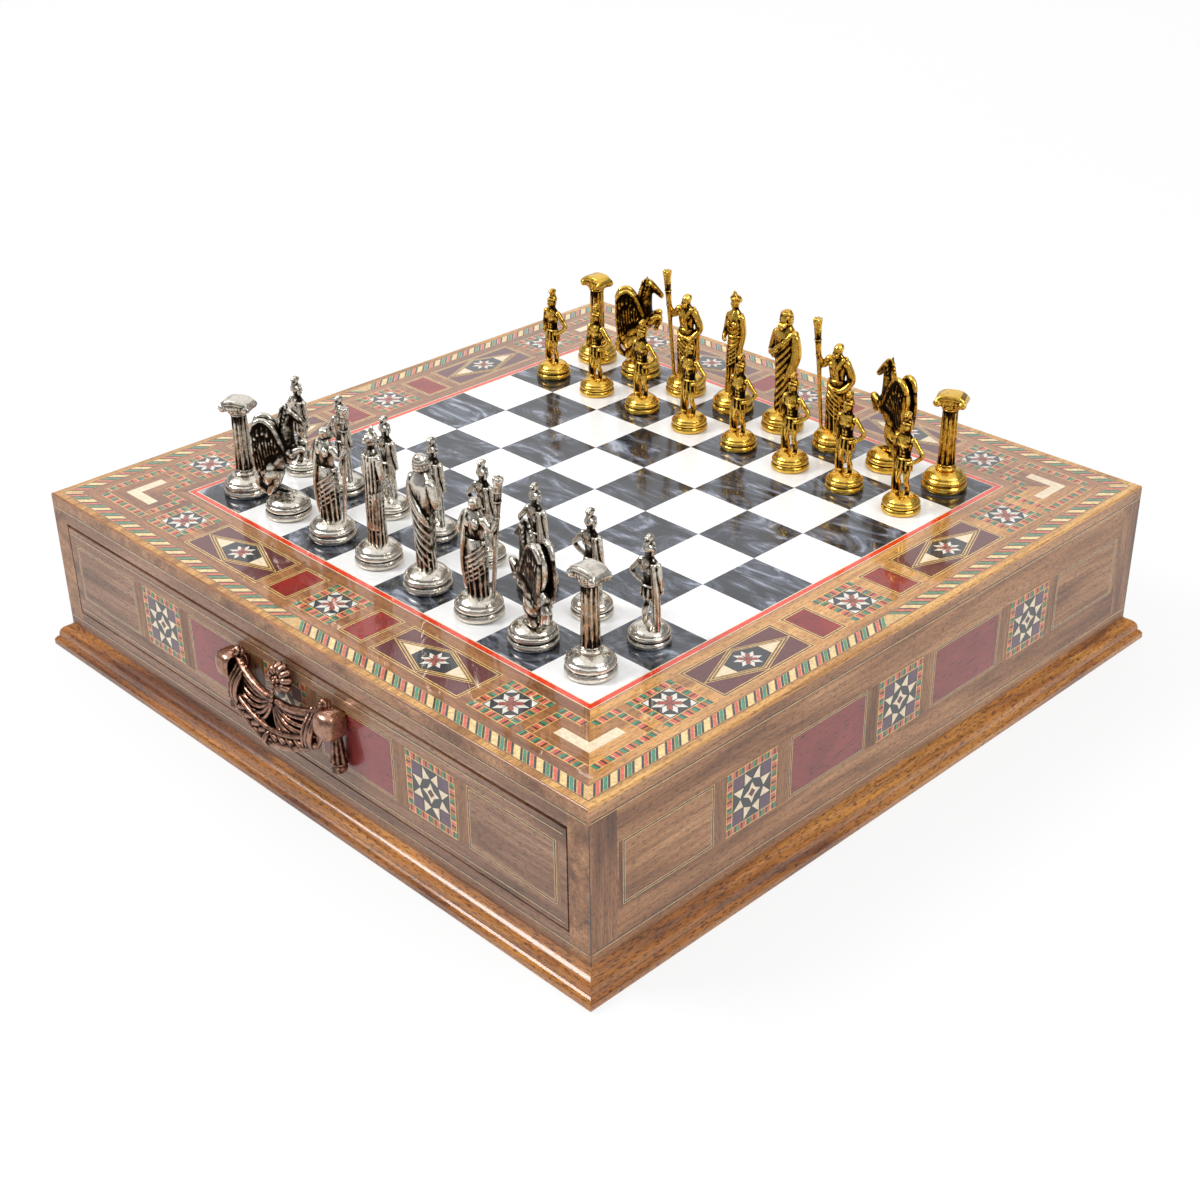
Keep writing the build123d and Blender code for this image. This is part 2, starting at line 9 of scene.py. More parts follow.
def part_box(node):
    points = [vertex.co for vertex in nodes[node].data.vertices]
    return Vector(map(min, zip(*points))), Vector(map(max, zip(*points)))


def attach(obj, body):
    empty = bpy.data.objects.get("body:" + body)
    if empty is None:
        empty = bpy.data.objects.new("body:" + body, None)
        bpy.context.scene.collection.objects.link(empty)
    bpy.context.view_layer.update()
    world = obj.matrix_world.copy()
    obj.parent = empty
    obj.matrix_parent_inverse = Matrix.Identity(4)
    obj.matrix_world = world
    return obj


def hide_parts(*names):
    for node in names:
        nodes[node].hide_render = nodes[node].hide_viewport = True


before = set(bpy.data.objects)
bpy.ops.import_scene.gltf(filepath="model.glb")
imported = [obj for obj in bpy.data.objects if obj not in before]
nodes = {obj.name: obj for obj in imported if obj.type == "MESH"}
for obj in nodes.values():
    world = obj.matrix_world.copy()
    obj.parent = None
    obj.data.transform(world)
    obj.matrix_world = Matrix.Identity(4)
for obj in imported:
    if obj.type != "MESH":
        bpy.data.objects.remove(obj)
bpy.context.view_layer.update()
scene = bpy.context.scene

# One millimetre in the scene's metres
MM = 0.001
WHITE = (1.0, 1.0, 1.0)
VECTORS = "ShaderNodeVectorMath"


def new_object(name, data):
    """A new object in the scene."""
    made = bpy.data.objects.new(name, data)
    scene.collection.objects.link(made)
    return made


# Shader helpers
def new_material(name):
    """An empty node material with its surface shader and output."""
    material = bpy.data.materials.new(name)
    material.use_nodes = True
    tree = material.node_tree
    tree.nodes.clear()
    output = tree.nodes.new("ShaderNodeOutputMaterial")
    surface = tree.nodes.new("ShaderNodeBsdfPrincipled")
    tree.links.new(surface.outputs[0], output.inputs[0])
    return material, tree, surface


def add_node(tree, kind, inputs=None, **settings):
    """A shader node with its settings, its fixed values and its links."""
    made = tree.nodes.new(kind)
    for key, value in settings.items():
        setattr(made, key, value)
    for key, value in (inputs or {}).items():
        if isinstance(value, bpy.types.NodeSocket):
            tree.links.new(value, made.inputs[key])
        else:
            made.inputs[key].default_value = value
    return made


def set_inputs(shader, values):
    """Fixed values on a shader's own sockets."""
    for key, value in values.items():
        shader.inputs[key].default_value = value


def maths(tree, operation, *values, kind="ShaderNodeMath"):
    """The result of a sum on numbers or, by its kind, on vectors."""
    return add_node(tree, kind, dict(enumerate(values)), operation=operation).outputs[0]


def ramp(tree, factor, stops):
    """A colour ramp through (place, colour) stops."""
    made = add_node(tree, "ShaderNodeValToRGB", {"Fac": factor})
    elements = made.color_ramp.elements
    while len(elements) < len(stops):
        elements.new(0.5)
    for element, (place, colour) in zip(elements, stops):
        element.position = place
        element.color = (*colour, 1.0)
    return made.outputs["Color"]


def mixed(tree, blend, factor, first, second):
    """Two colours blended."""
    made = add_node(tree, "ShaderNodeMix", data_type="RGBA", blend_type=blend)
    for socket, value in zip((made.inputs[0], made.inputs[6], made.inputs[7]), (factor, first, second)):
        if isinstance(value, bpy.types.NodeSocket):
            tree.links.new(value, socket)
        else:
            socket.default_value = value if socket == made.inputs[0] else (*value, 1.0)
    return made.outputs[2]


def stretched(tree, scale):
    """Object coordinates scaled differently along each axis."""
    place = add_node(tree, "ShaderNodeTexCoord")
    mapping = add_node(tree, "ShaderNodeMapping", {"Vector": place.outputs["Object"], "Scale": scale})
    return mapping.outputs["Vector"]


def grain_scale(axis, along, across):
    """Grain that runs along one axis."""
    return tuple(along if step == axis else across for step in range(3))


def bump(tree, surface, height, strength, distance):
    """Fine relief on the surface."""
    relief = add_node(
        tree, "ShaderNodeBump", {"Height": height, "Strength": strength, "Distance": distance}
    )
    tree.links.new(relief.outputs[0], surface.inputs["Normal"])


def noise(tree, scale, detail, roughness=0.5, distortion=0.0):
    """Cloudy noise on object coordinates, in cycles per metre, even or of its own along each axis."""
    scale = scale if isinstance(scale, tuple) else (scale,) * 3
    made = add_node(
        tree,
        "ShaderNodeTexNoise",
        {"Vector": stretched(tree, scale), "Scale": 1.0, "Detail": detail, "Roughness": roughness,
         "Distortion": distortion},
    )
    return made.outputs["Fac"]


# Wood: broad figure, streaks, fibres and dark pores that all run along the grain
def wood(name, axis, dark, middle, light, pores=0.6, coat=0.35, roughness=0.36):
    material, tree, surface = new_material(name)
    figure = noise(tree, grain_scale(axis, 7.0, 60.0), 6.0, 0.55, 0.9)
    streaks = noise(tree, grain_scale(axis, 18.0, 480.0), 3.0, 0.7)
    fibre = noise(tree, grain_scale(axis, 100.0, 2200.0), 3.0, 0.7)
    pore = noise(tree, grain_scale(axis, 330.0, 1500.0), 2.0)
    body = ramp(tree, figure, [(0.34, dark), (0.50, middle), (0.66, light)])
    veil = ramp(tree, streaks, [(0.36, (0.54, 0.50, 0.47)), (0.60, WHITE)])
    threads = ramp(tree, fibre, [(0.36, (0.62, 0.58, 0.55)), (0.60, WHITE)])
    holes = ramp(tree, pore, [(0.37, (0.28, 0.22, 0.19)), (0.47, WHITE)])
    streaked = mixed(tree, "MULTIPLY", 0.75, body, veil)
    threaded = mixed(tree, "MULTIPLY", 0.6, streaked, threads)
    coloured = mixed(tree, "MULTIPLY", pores, threaded, holes)
    tree.links.new(coloured, surface.inputs["Base Color"])
    set_inputs(surface, {"Roughness": roughness, "Coat Weight": coat, "Coat Roughness": 0.05})
    bump(tree, surface, pore, 0.10, 0.0002)
    return material


# Small inlays: one wood or shell tone with a little life in it
def inlay(name, colour, spread=0.25, roughness=0.3):
    material, tree, surface = new_material(name)
    cloud = noise(tree, 700.0, 4.0)
    low = tuple(channel * (1.0 - spread) for channel in colour)
    high = tuple(min(1.0, channel * (1.0 + spread)) for channel in colour)
    tree.links.new(ramp(tree, cloud, [(0.32, low), (0.68, high)]), surface.inputs["Base Color"])
    set_inputs(surface, {"Roughness": roughness, "Coat Weight": 0.9, "Coat Roughness": 0.05})
    return material


# Red panels: nearly even, with short dark flecks along the grain
def flecked_red(name, dark, light, axis):
    material, tree, surface = new_material(name)
    cloud = noise(tree, 60.0, 4.0, 0.5, 0.4)
    fleck = noise(tree, grain_scale(axis, 170.0, 1100.0), 2.0)
    body = ramp(tree, cloud, [(0.30, dark), (0.70, light)])
    holes = ramp(tree, fleck, [(0.33, (0.12, 0.09, 0.09)), (0.38, WHITE)])
    tree.links.new(mixed(tree, "MULTIPLY", 0.75, body, holes), surface.inputs["Base Color"])
    set_inputs(surface, {"Roughness": 0.26, "Coat Weight": 0.6, "Coat Roughness": 0.06})
    return material


# Squares: pearl sheet in shards, laid differently in every square
def pearl(name, stops, square, roughness):
    material, tree, surface = new_material(name)
    place = add_node(tree, "ShaderNodeTexCoord").outputs["Object"]
    cells = maths(tree, "MULTIPLY", place, (1 / square,) * 3, kind=VECTORS)
    whole = maths(tree, "FLOOR", cells, kind=VECTORS)
    offset = maths(tree, "MULTIPLY", whole, (0.37, 0.53, 0.0), kind=VECTORS)
    moved = maths(tree, "ADD", place, offset, kind=VECTORS)
    turned = add_node(
        tree,
        "ShaderNodeMapping",
        {"Vector": moved, "Rotation": (0.0, 0.0, 0.5), "Scale": (24.0, 58.0, 1.0)},
    )
    shards = add_node(
        tree,
        "ShaderNodeTexNoise",
        {"Vector": turned.outputs[0], "Scale": 1.0, "Detail": 5.0, "Roughness": 0.62, "Distortion": 2.2},
    )
    tree.links.new(ramp(tree, shards.outputs["Fac"], stops), surface.inputs["Base Color"])
    set_inputs(surface, {"Roughness": roughness, "Coat Weight": 0.4, "Coat Roughness": 0.03})
    return material


# Cast metal: bright where it is rubbed, dark where the patina stays
def aged_metal(name, stops, rough_worn, rough_dark):
    material, tree, surface = new_material(name)
    worn = add_node(tree, "ShaderNodeAttribute", attribute_name="worn").outputs["Fac"]
    cloud = noise(tree, 360.0, 5.0, 0.65)
    cloud_share, cloud_level = 1.5, 0.86
    share = maths(tree, "MULTIPLY", cloud, cloud_share)
    level = maths(tree, "SUBTRACT", maths(tree, "ADD", worn, share), cloud_level)
    tree.links.new(ramp(tree, level, stops), surface.inputs["Base Color"])
    roughness = {"Value": level, "To Min": rough_dark, "To Max": rough_worn}
    rough = add_node(tree, "ShaderNodeMapRange", roughness)
    tree.links.new(rough.outputs[0], surface.inputs["Roughness"])
    surface.inputs["Metallic"].default_value = 1.0
    lumps = noise(tree, 230.0, 3.0)
    bump(tree, surface, lumps, 0.55, 0.0008)
    return material


# Felt: a soft pile with scattered fibres and a nap that lies in broad patches
def felt(name, dark, light):
    material, tree, surface = new_material(name)
    pile = noise(tree, 700.0, 6.0, 0.8)
    nap = noise(tree, 26.0, 5.0, 0.65)
    body = ramp(tree, pile, [(0.3, dark), (0.7, light)])
    shade = ramp(tree, nap, [(0.34, (0.62, 0.60, 0.60)), (0.66, WHITE)])
    tree.links.new(mixed(tree, "MULTIPLY", 0.8, body, shade), surface.inputs["Base Color"])
    set_inputs(surface, {"Roughness": 0.95, "Sheen Weight": 0.2, "Sheen Tint": (0.70, 0.25, 0.25, 1.0)})
    bump(tree, surface, pile, 0.8, 0.0008)
    return material


square_size = (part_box("dark_squares")[1].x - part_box("dark_squares")[0].x) / 8

walnut_front = wood("walnut_front", 0, (0.165, 0.078, 0.042), (0.320, 0.160, 0.088), (0.450, 0.250, 0.145))
walnut_side = wood("walnut_side", 1, (0.225, 0.092, 0.034), (0.435, 0.204, 0.084), (0.600, 0.318, 0.146))
walnut_upright = wood("walnut_upright", 2, (0.165, 0.066, 0.026), (0.330, 0.152, 0.066),
    (0.470, 0.245, 0.112))
border_long = wood("border_walnut", 0, (0.240, 0.078, 0.016), (0.425, 0.165, 0.042),
    (0.570, 0.255, 0.080), coat=1.0)
border_left = wood("border_left", 1, (0.220, 0.070, 0.014), (0.390, 0.150, 0.038),
    (0.520, 0.230, 0.070), coat=1.0)
border_right = wood("border_right", 1, (0.430, 0.172, 0.030), (0.710, 0.330, 0.075),
    (0.890, 0.465, 0.135), coat=1.0)
honey = wood("honey_edging", 1, (0.420, 0.180, 0.036), (0.720, 0.360, 0.092), (0.900, 0.520, 0.165))
plinth_tones = ((0.190, 0.052, 0.008), (0.500, 0.182, 0.028), (0.720, 0.315, 0.062))
plinth_long = wood("plinth_front_wood", 0, *plinth_tones, 0.85, 0.6, 0.3)
plinth_deep = wood("plinth_side_wood", 1, *plinth_tones, 0.85, 0.6, 0.3)
plain_wood = wood("plain_wood", 1, (0.400, 0.270, 0.150), (0.520, 0.360, 0.210),
    (0.610, 0.440, 0.270), 0.3, 0.0, 0.6)
drawer_wood = wood("drawer_wood", 1, (0.420, 0.280, 0.150), (0.540, 0.380, 0.220),
    (0.630, 0.460, 0.280), 0.3, 0.0, 0.55)
red_line = inlay("red_line", (0.760, 0.040, 0.002), 0.22, 0.22)
dark_pearl = pearl(
    "dark_pearl",
    [(0.30, (0.005, 0.006, 0.008)), (0.46, (0.018, 0.021, 0.029)), (0.57, (0.085, 0.097, 0.128)),
     (0.70, (0.380, 0.415, 0.500))],
    square_size,
    0.16,
)
white_pearl = pearl("white_pearl", [(0.3, (0.88, 0.88, 0.87)), (0.7, (0.94, 0.94, 0.94))], square_size, 0.16)
aged_silver = aged_metal(
    "aged_silver",
    [(0.20, (0.010, 0.007, 0.005)), (0.39, (0.085, 0.068, 0.050)), (0.56, (0.400, 0.360, 0.300)),
     (0.84, (0.770, 0.715, 0.620))],
    0.17,
    0.40,
)
aged_gold = aged_metal(
    "aged_gold",
    [(0.20, (0.010, 0.005, 0.002)), (0.38, (0.095, 0.040, 0.005)), (0.54, (0.500, 0.255, 0.024)),
     (0.82, (0.860, 0.535, 0.092))],
    0.18,
    0.40,
)
aged_copper = aged_metal(
    "aged_copper",
    [(0.14, (0.010, 0.006, 0.005)), (0.38, (0.088, 0.043, 0.029)), (0.62, (0.255, 0.128, 0.086)),
     (0.95, (0.505, 0.285, 0.205))],
    0.24,
    0.42,
)
screw_steel = aged_metal("screw_steel", [(0.1, (0.30, 0.30, 0.30)), (0.8, (0.62, 0.62, 0.62))], 0.3, 0.45)
red_felt = felt("red_felt", (0.070, 0.005, 0.008), (0.230, 0.020, 0.028))

# Finishes of the marquetry, by a plain name
finishes = {
    "yellow": inlay("yellow_stringing", (0.760, 0.450, 0.130)),
    "straw": inlay("straw_inlay", (0.620, 0.380, 0.130)),
    "black": inlay("black_inlay", (0.022, 0.022, 0.026)),
    "white": inlay("white_inlay", (0.740, 0.700, 0.620), 0.12),
    "cream": inlay("cream_inlay", (0.820, 0.670, 0.460), 0.14),
    "green": inlay("green_inlay", (0.030, 0.230, 0.120)),
    "orange": inlay("orange_inlay", (0.540, 0.150, 0.026)),
    "brown": inlay("brown_inlay", (0.160, 0.060, 0.026)),
    "pale": inlay("pale_inlay", (0.800, 0.560, 0.240)),
    "tan": inlay("tan_inlay", (0.300, 0.125, 0.050)),
    "maroon": inlay("maroon_inlay", (0.110, 0.016, 0.018)),
    "purple": inlay("purple_inlay", (0.100, 0.046, 0.080)),
    "brick": inlay("brick_inlay", (0.330, 0.070, 0.042)),
    "rose": inlay("rose_inlay", (0.640, 0.100, 0.060)),
    "red": flecked_red("red_panel", (0.200, 0.007, 0.004), (0.330, 0.018, 0.010), 0),
    "side_red": flecked_red("side_red_panel", (0.200, 0.030, 0.026), (0.280, 0.046, 0.038), 1),
    "drawer_red": flecked_red("drawer_red_panel", (0.200, 0.028, 0.028), (0.280, 0.044, 0.042), 0),
    "upright": walnut_upright,
    "honey": honey,
    "walnut": walnut_side,
    "dim": walnut_front,
}
finish_names = list(finishes)


# Finish the solid wooden pieces
def finish_nodes(material, *names):
    for name in names:
        nodes[name].data.materials.clear()
        nodes[name].data.materials.append(material)


finish_nodes(walnut_front, "front_top_rail", "front_bottom_rail", "back_wall", "drawer_front")
finish_nodes(walnut_side, "side_wall_left", "side_wall_right", "board_panel")
finish_nodes(border_long, "border_front", "border_back")
finish_nodes(border_left, "border_left")
finish_nodes(border_right, "border_right")
finish_nodes(plinth_long, "plinth_front", "plinth_back")
finish_nodes(plinth_deep, "plinth_left", "plinth_right")
finish_nodes(plain_wood, "base_panel", "drawer_runner_left", "drawer_runner_right")
finish_nodes(drawer_wood, "drawer_side_left", "drawer_side_right", "drawer_back", "drawer_bottom")
finish_nodes(red_line, "red_stringing")
finish_nodes(dark_pearl, "dark_squares")
finish_nodes(white_pearl, "white_squares")
finish_nodes(screw_steel, "pull_screws")


# Thin plates of veneer, drawn flat in millimetres and stacked in shallow layers
LAYER = 0.035
BED = 0.12
CORNERS = [(across, along) for across in (-1, 1) for along in (-1, 1)]


def rectangle(left, low, right, high):
    """The four corners of a rectangle."""
    return [(left, low), (right, low), (right, high), (left, high)]


class Veneer:
    """Plates gathered into one mesh, each with its own finish."""

    def __init__(self):
        self.corners, self.faces, self.tones = [], [], []

    def solid(self, corners, faces, tone):
        start = len(self.corners)
        self.corners += [Vector(corner) for corner in corners]
        self.faces += [tuple(start + corner for corner in face) for face in faces]
        self.tones += [finish_names.index(tone)] * len(faces)

    def plate(self, outline, layer, tone):
        """A flat plate with this outline, its top one layer higher for each plate below it."""
        area = sum(a[0] * b[1] - b[0] * a[1] for a, b in zip(outline, outline[1:] + outline[:1]))
        points = outline if area > 0 else outline[::-1]
        count = len(points)
        top = LAYER * (layer + 1)
        corners = [(x, y, -BED) for x, y in points] + [(x, y, top) for x, y in points]
        walls = [(i, (i + 1) % count, count + (i + 1) % count, count + i) for i in range(count)]
        faces = [tuple(range(count, 2 * count)), tuple(reversed(range(count)))] + walls
        self.solid(corners, faces, tone)

    def box(self, left, low, right, high, layer, tone):
        self.plate(rectangle(left, low, right, high), layer, tone)

    def outline_box(self, left, low, right, high, width, layer, tone):
        """Four mitred strips round a rectangle."""
        outer = rectangle(left, low, right, high)
        inner = rectangle(left + width, low + width, right - width, high - width)
        for step in range(4):
            after = (step + 1) % 4
            self.plate([outer[step], outer[after], inner[after], inner[step]], layer, tone)

    def add(self, other, place):
        """Another set of plates, laid down by a matrix."""
        start = len(self.corners)
        flipped = place.to_3x3().determinant() < 0
        self.corners += [place @ corner for corner in other.corners]
        for face in other.faces:
            moved = tuple(start + corner for corner in face)
            self.faces.append(moved[::-1] if flipped else moved)
        self.tones += other.tones

    def piece(self, name, body, slot, place):
        """The finished marquetry as one piece that rides on a body."""
        mesh = bpy.data.meshes.new(name)
        corners = [(place @ corner) * MM for corner in self.corners]
        flipped = place.to_3x3().determinant() < 0
        faces = [face[::-1] if flipped else face for face in self.faces]
        mesh.from_pydata(corners, [], faces)
        for tone in finish_names:
            mesh.materials.append(finishes[tone])
        mesh.polygons.foreach_set("material_index", self.tones)
        made = new_object(name, mesh)
        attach(made, body)


# A run of equal stripes, slanted or square, made once as a node tree
def stripe_tree():
    tree = bpy.data.node_groups.new("stripe_run", "GeometryNodeTree")
    for name, kind in (("Count", "NodeSocketInt"), ("Step", "NodeSocketFloat"), ("Size", "NodeSocketVector"),
                       ("Slant", "NodeSocketFloat"), ("Finish", "NodeSocketMaterial")):
        tree.interface.new_socket(name, in_out="INPUT", socket_type=kind)
    tree.interface.new_socket("Stripes", in_out="OUTPUT", socket_type="NodeSocketGeometry")
    given = tree.nodes.new("NodeGroupInput")
    result = tree.nodes.new("NodeGroupOutput")
    stripe = add_node(tree, "GeometryNodeMeshCube", {"Size": given.outputs["Size"]})
    place = add_node(tree, "GeometryNodeInputPosition")
    apart = add_node(tree, "ShaderNodeSeparateXYZ", {"Vector": place.outputs[0]})
    lean = maths(tree, "MULTIPLY", apart.outputs["Y"], given.outputs["Slant"])
    shift = add_node(tree, "ShaderNodeCombineXYZ", {"X": lean})
    leant = add_node(
        tree, "GeometryNodeSetPosition", {"Geometry": stripe.outputs["Mesh"], "Offset": shift.outputs[0]}
    )
    stride = add_node(tree, "ShaderNodeCombineXYZ", {"X": given.outputs["Step"]})
    line = add_node(
        tree, "GeometryNodeMeshLine",
        {"Count": given.outputs["Count"], "Offset": stride.outputs[0]}, mode="OFFSET"
    )
    laid = add_node(
        tree, "GeometryNodeInstanceOnPoints", {"Points": line.outputs[0], "Instance": leant.outputs[0]}
    )
    real = add_node(tree, "GeometryNodeRealizeInstances", {"Geometry": laid.outputs[0]})
    shown = add_node(
        tree, "GeometryNodeSetMaterial", {"Geometry": real.outputs[0], "Material": given.outputs["Finish"]}
    )
    tree.links.new(shown.outputs[0], result.inputs[0])
    return tree


stripes = stripe_tree()
stripe_inputs = {item.name: item.identifier for item in stripes.interface.items_tree
    if item.in_out == "INPUT"}


def stripe_run(veneer, place, count, step, width, reach, slant, layer, tone):
    """Lay a run of stripes: width along the run, reach across it."""
    top = LAYER * (layer + 1)
    holder = new_object("stripe_run", bpy.data.meshes.new("stripe_run"))
    modifier = holder.modifiers.new("stripes", "NODES")
    modifier.node_group = stripes
    values = {"Count": count, "Step": step, "Size": (width, reach, top + BED), "Slant": slant,
              "Finish": finishes[tone]}
    for key, value in values.items():
        modifier[stripe_inputs[key]] = value
    ready = holder.evaluated_get(bpy.context.evaluated_depsgraph_get())
    mesh = bpy.data.meshes.new_from_object(ready)
    run = Veneer()
    run.solid([corner.co for corner in mesh.vertices], [tuple(face.vertices) for face in mesh.polygons], tone)
    bpy.data.objects.remove(holder)
    veneer.add(run, place @ Matrix.Translation((0, 0, (top - BED) / 2)))


def at(x, y, turn=0.0, layers=0):
    """A place on the flat, turned and raised by some layers."""
    return Matrix.Translation((x, y, layers * LAYER)) @ Matrix.Rotation(turn, 4, "Z")


def polar(radius, turn):
    """A point at this distance and turn from the middle."""
    return (radius * cos(turn), radius * sin(turn))


# Motifs of the marquetry, drawn about their own middle in millimetres
def pin_points(veneer, radius, layer):
    """Eight white points round a brick-red pinwheel."""
    for step in range(8):
        turn = (step + 0.5) * pi / 4
        kite = [polar(radius * 0.16, turn), polar(radius * 0.56, turn - 0.36), polar(radius, turn),
                polar(radius * 0.56, turn + 0.36)]
        veneer.plate(kite, layer, "white")
    for step in range(4):
        turn = (step + 0.5) * pi / 2
        petal = [(0.0, 0.0), polar(radius * 0.26, turn - 0.6), polar(radius * 0.62, turn - 0.26),
                 polar(radius * 0.62, turn + 0.26), polar(radius * 0.26, turn + 0.6)]
        veneer.plate(petal, layer + 1, "brick")


def pin_star(veneer, half, layer):
    """The star of the top: a black ground with a white triangle in each corner."""
    veneer.box(-half, -half, half, half, layer, "black")
    near, far = half * 0.50, half * 0.93
    for across, along in CORNERS:
        triangle = [(across * far, along * far), (across * near, along * far), (across * far, along * near)]
        veneer.plate(triangle, layer + 1, "white")
    pin_points(veneer, half * 0.98, layer + 1)


def tile_star(veneer, half, layer):
    """The star of the upright faces: purple corner squares, cream points and a small inner star."""
    veneer.box(-half, -half, half, half, layer, "black")
    near = half * 0.46
    for across, along in CORNERS:
        veneer.box(across * near, along * near, across * half, along * half, layer + 1, "purple")
    for step in range(8):
        turn = (step + 0.5) * pi / 4
        point = [polar(half * 0.60, turn - 0.34), polar(half * 1.04, turn), polar(half * 0.60, turn + 0.34)]
        veneer.plate(point, layer + 2, "cream")
    inner = []
    for step in range(4):
        inner += [polar(half * 0.44, step * pi / 2), polar(half * 0.22, (step + 0.5) * pi / 2)]
    veneer.plate(inner, layer + 1, "cream")
    veneer.plate([polar(half * 0.18, step * pi / 2) for step in range(4)], layer + 2, "maroon")


MOSAIC_BARS = ((0.9, 1.4, "green"), (1.9, 0.5, "black"), (3.3, 0.4, "pale"), (4.5, 1.7, "rose"),
               (5.8, 0.8, "black"), (6.9, 0.9, "orange"))
MOSAIC_PERIOD = 7.8


def mosaic_band(veneer, length, width, layer):
    """Coloured bars across a band with a yellow line along each edge, centred and lying along x."""
    line = 0.4
    veneer.box(-length / 2, -width / 2, length / 2, width / 2, layer, "tan")
    for side in (-1, 1):
        edge = side * (width / 2 - line / 2)
        veneer.box(-length / 2, edge - line / 2, length / 2, edge + line / 2, layer + 1, "yellow")
    for offset, bar, tone in MOSAIC_BARS:
        start = -length / 2 + offset
        count = int((length / 2 - bar / 2 - start) / MOSAIC_PERIOD) + 1
        stripe_run(veneer, at(start, 0), count, MOSAIC_PERIOD, bar, width - 2 * line, 0.0, layer + 1, tone)


def star_frame(half, field, paint):
    """A star set in a square frame of mosaic."""
    made = Veneer()
    band = half - field
    for step in range(4):
        strip = Veneer()
        mosaic_band(strip, 2 * half if step % 2 == 0 else 2 * field, band, 0)
        made.add(strip, Matrix.Rotation(step * pi / 2, 4, "Z") @ Matrix.Translation((0, half - band / 2, 0)))
    paint(made, field, 0)
    return made


def framed_panel(half_long, half_tall, tone, lines):
    """A panel inside thin nested lines."""
    made = Veneer()
    inset = 0.0
    for width, line in lines:
        made.outline_box(-half_long + inset, -half_tall + inset, half_long - inset,
            half_tall - inset, width, 0, line)
        inset += width
    made.box(-half_long + inset, -half_tall + inset, half_long - inset, half_tall - inset, 0, tone)
    return made


DOUBLE_LINE = ((0.5, "yellow"), (0.65, "black"), (0.55, "yellow"))
FINE_LINE = ((0.35, "straw"), (0.65, "black"), (0.35, "straw"))


def lozenge_panel(half_long, half_tall):
    """A rhombus of nested bands: cream at both ends and a star on black in its middle."""
    made = framed_panel(half_long, half_tall, "maroon", DOUBLE_LINE)
    rim = sum(width for width, _ in DOUBLE_LINE)
    long, tall = half_long - rim, half_tall - rim
    core = 0.745
    bands = ((1.0, "yellow"), (0.96, "black"), (0.905, "straw"), (0.83, "black"),
        (0.785, "yellow"), (core, "cream"))
    for layer, (share, tone) in enumerate(bands):
        made.plate([(long * share, 0), (0, tall * share), (-long * share, 0),
            (0, -tall * share)], layer + 1, tone)
    cut = 0.40
    peak = tall * core
    edge = peak * (1 - cut / core)
    hexagon = [(long * cut, -edge), (long * cut, edge), (0, peak), (-long * cut, edge),
        (-long * cut, -edge), (0, -peak)]
    made.plate(hexagon, 8, "black")
    pin_points(made, tall * 0.60, 9)
    return made


# Marquetry of the top border, one mitred side at a time.
# x runs along the side and y outwards from the middle.
half_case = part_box("board_panel")[1].x / MM
top_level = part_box("white_squares")[1].z / MM
squares_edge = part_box("white_squares")[1].x / MM
red_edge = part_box("red_stringing")[1].x / MM
row_middle, row_half = 162.7, 13.0
row_low = row_middle - row_half
top_star_field = 8.4
star_places = (0.0, 117.4)
red_place, red_half_long, red_half_tall = 27.1, 8.4, 12.5
lozenge_place, lozenge_half = 69.8, 28.8
corner_start, corner_end, corner_band = 135.0, 176.0, 4.6
rope_inner, rope_outer = 181.0, 187.4
rope_period, rope_green = 13.04, 5.6
chevron_start, chevron_tip, chevron_width = 145.0, 165.3, 5.3
# Widths of the thin lines along a side, and how far the plain edging stays off the rounded edge
fine, hair, edge_gap = 0.5, 0.35, 0.9

top_star = star_frame(row_half, top_star_field, pin_star)
top_red = framed_panel(red_half_long, red_half_tall, "red", DOUBLE_LINE)
lozenge = lozenge_panel(lozenge_half, row_half)


# The rope: how much of its width the stripes fill, their lean, and their distance from the mitre
ROPE_FILL, ROPE_LEAN, ROPE_CLEAR = 0.94, 1.0, 0.1
# Stripes of the rope by their distance from the green one, with their widths
ROPE_STRIPES = ((-1.95, 1.3, "black"), (0.0, 1.9, "green"), (2.0, 1.3, "black"), (4.1, 1.8, "rose"),
                (5.9, 1.3, "black"), (8.7, 3.6, "pale"))


def rope_half(veneer, hand):
    """Slanted coloured stripes from the middle of a side to its corner, leaning one way."""
    width = rope_outer - rope_inner
    middle = (rope_outer + rope_inner) / 2
    reach = width * ROPE_FILL
    for shift, stripe, tone in ROPE_STRIPES:
        # Whole stripes only, so that none crosses the middle of the side or the mitre
        start, end = reach / 2 + stripe / 2, middle - stripe / 2 - ROPE_CLEAR
        offset = (rope_green + shift) % rope_period
        while offset < start:
            offset += rope_period
        count = int((end - offset) / rope_period) + 1
        place = Matrix.Translation((hand * offset, middle, 0))
        stripe_run(veneer, place, count, hand * rope_period, stripe, reach, hand * ROPE_LEAN, 1, tone)


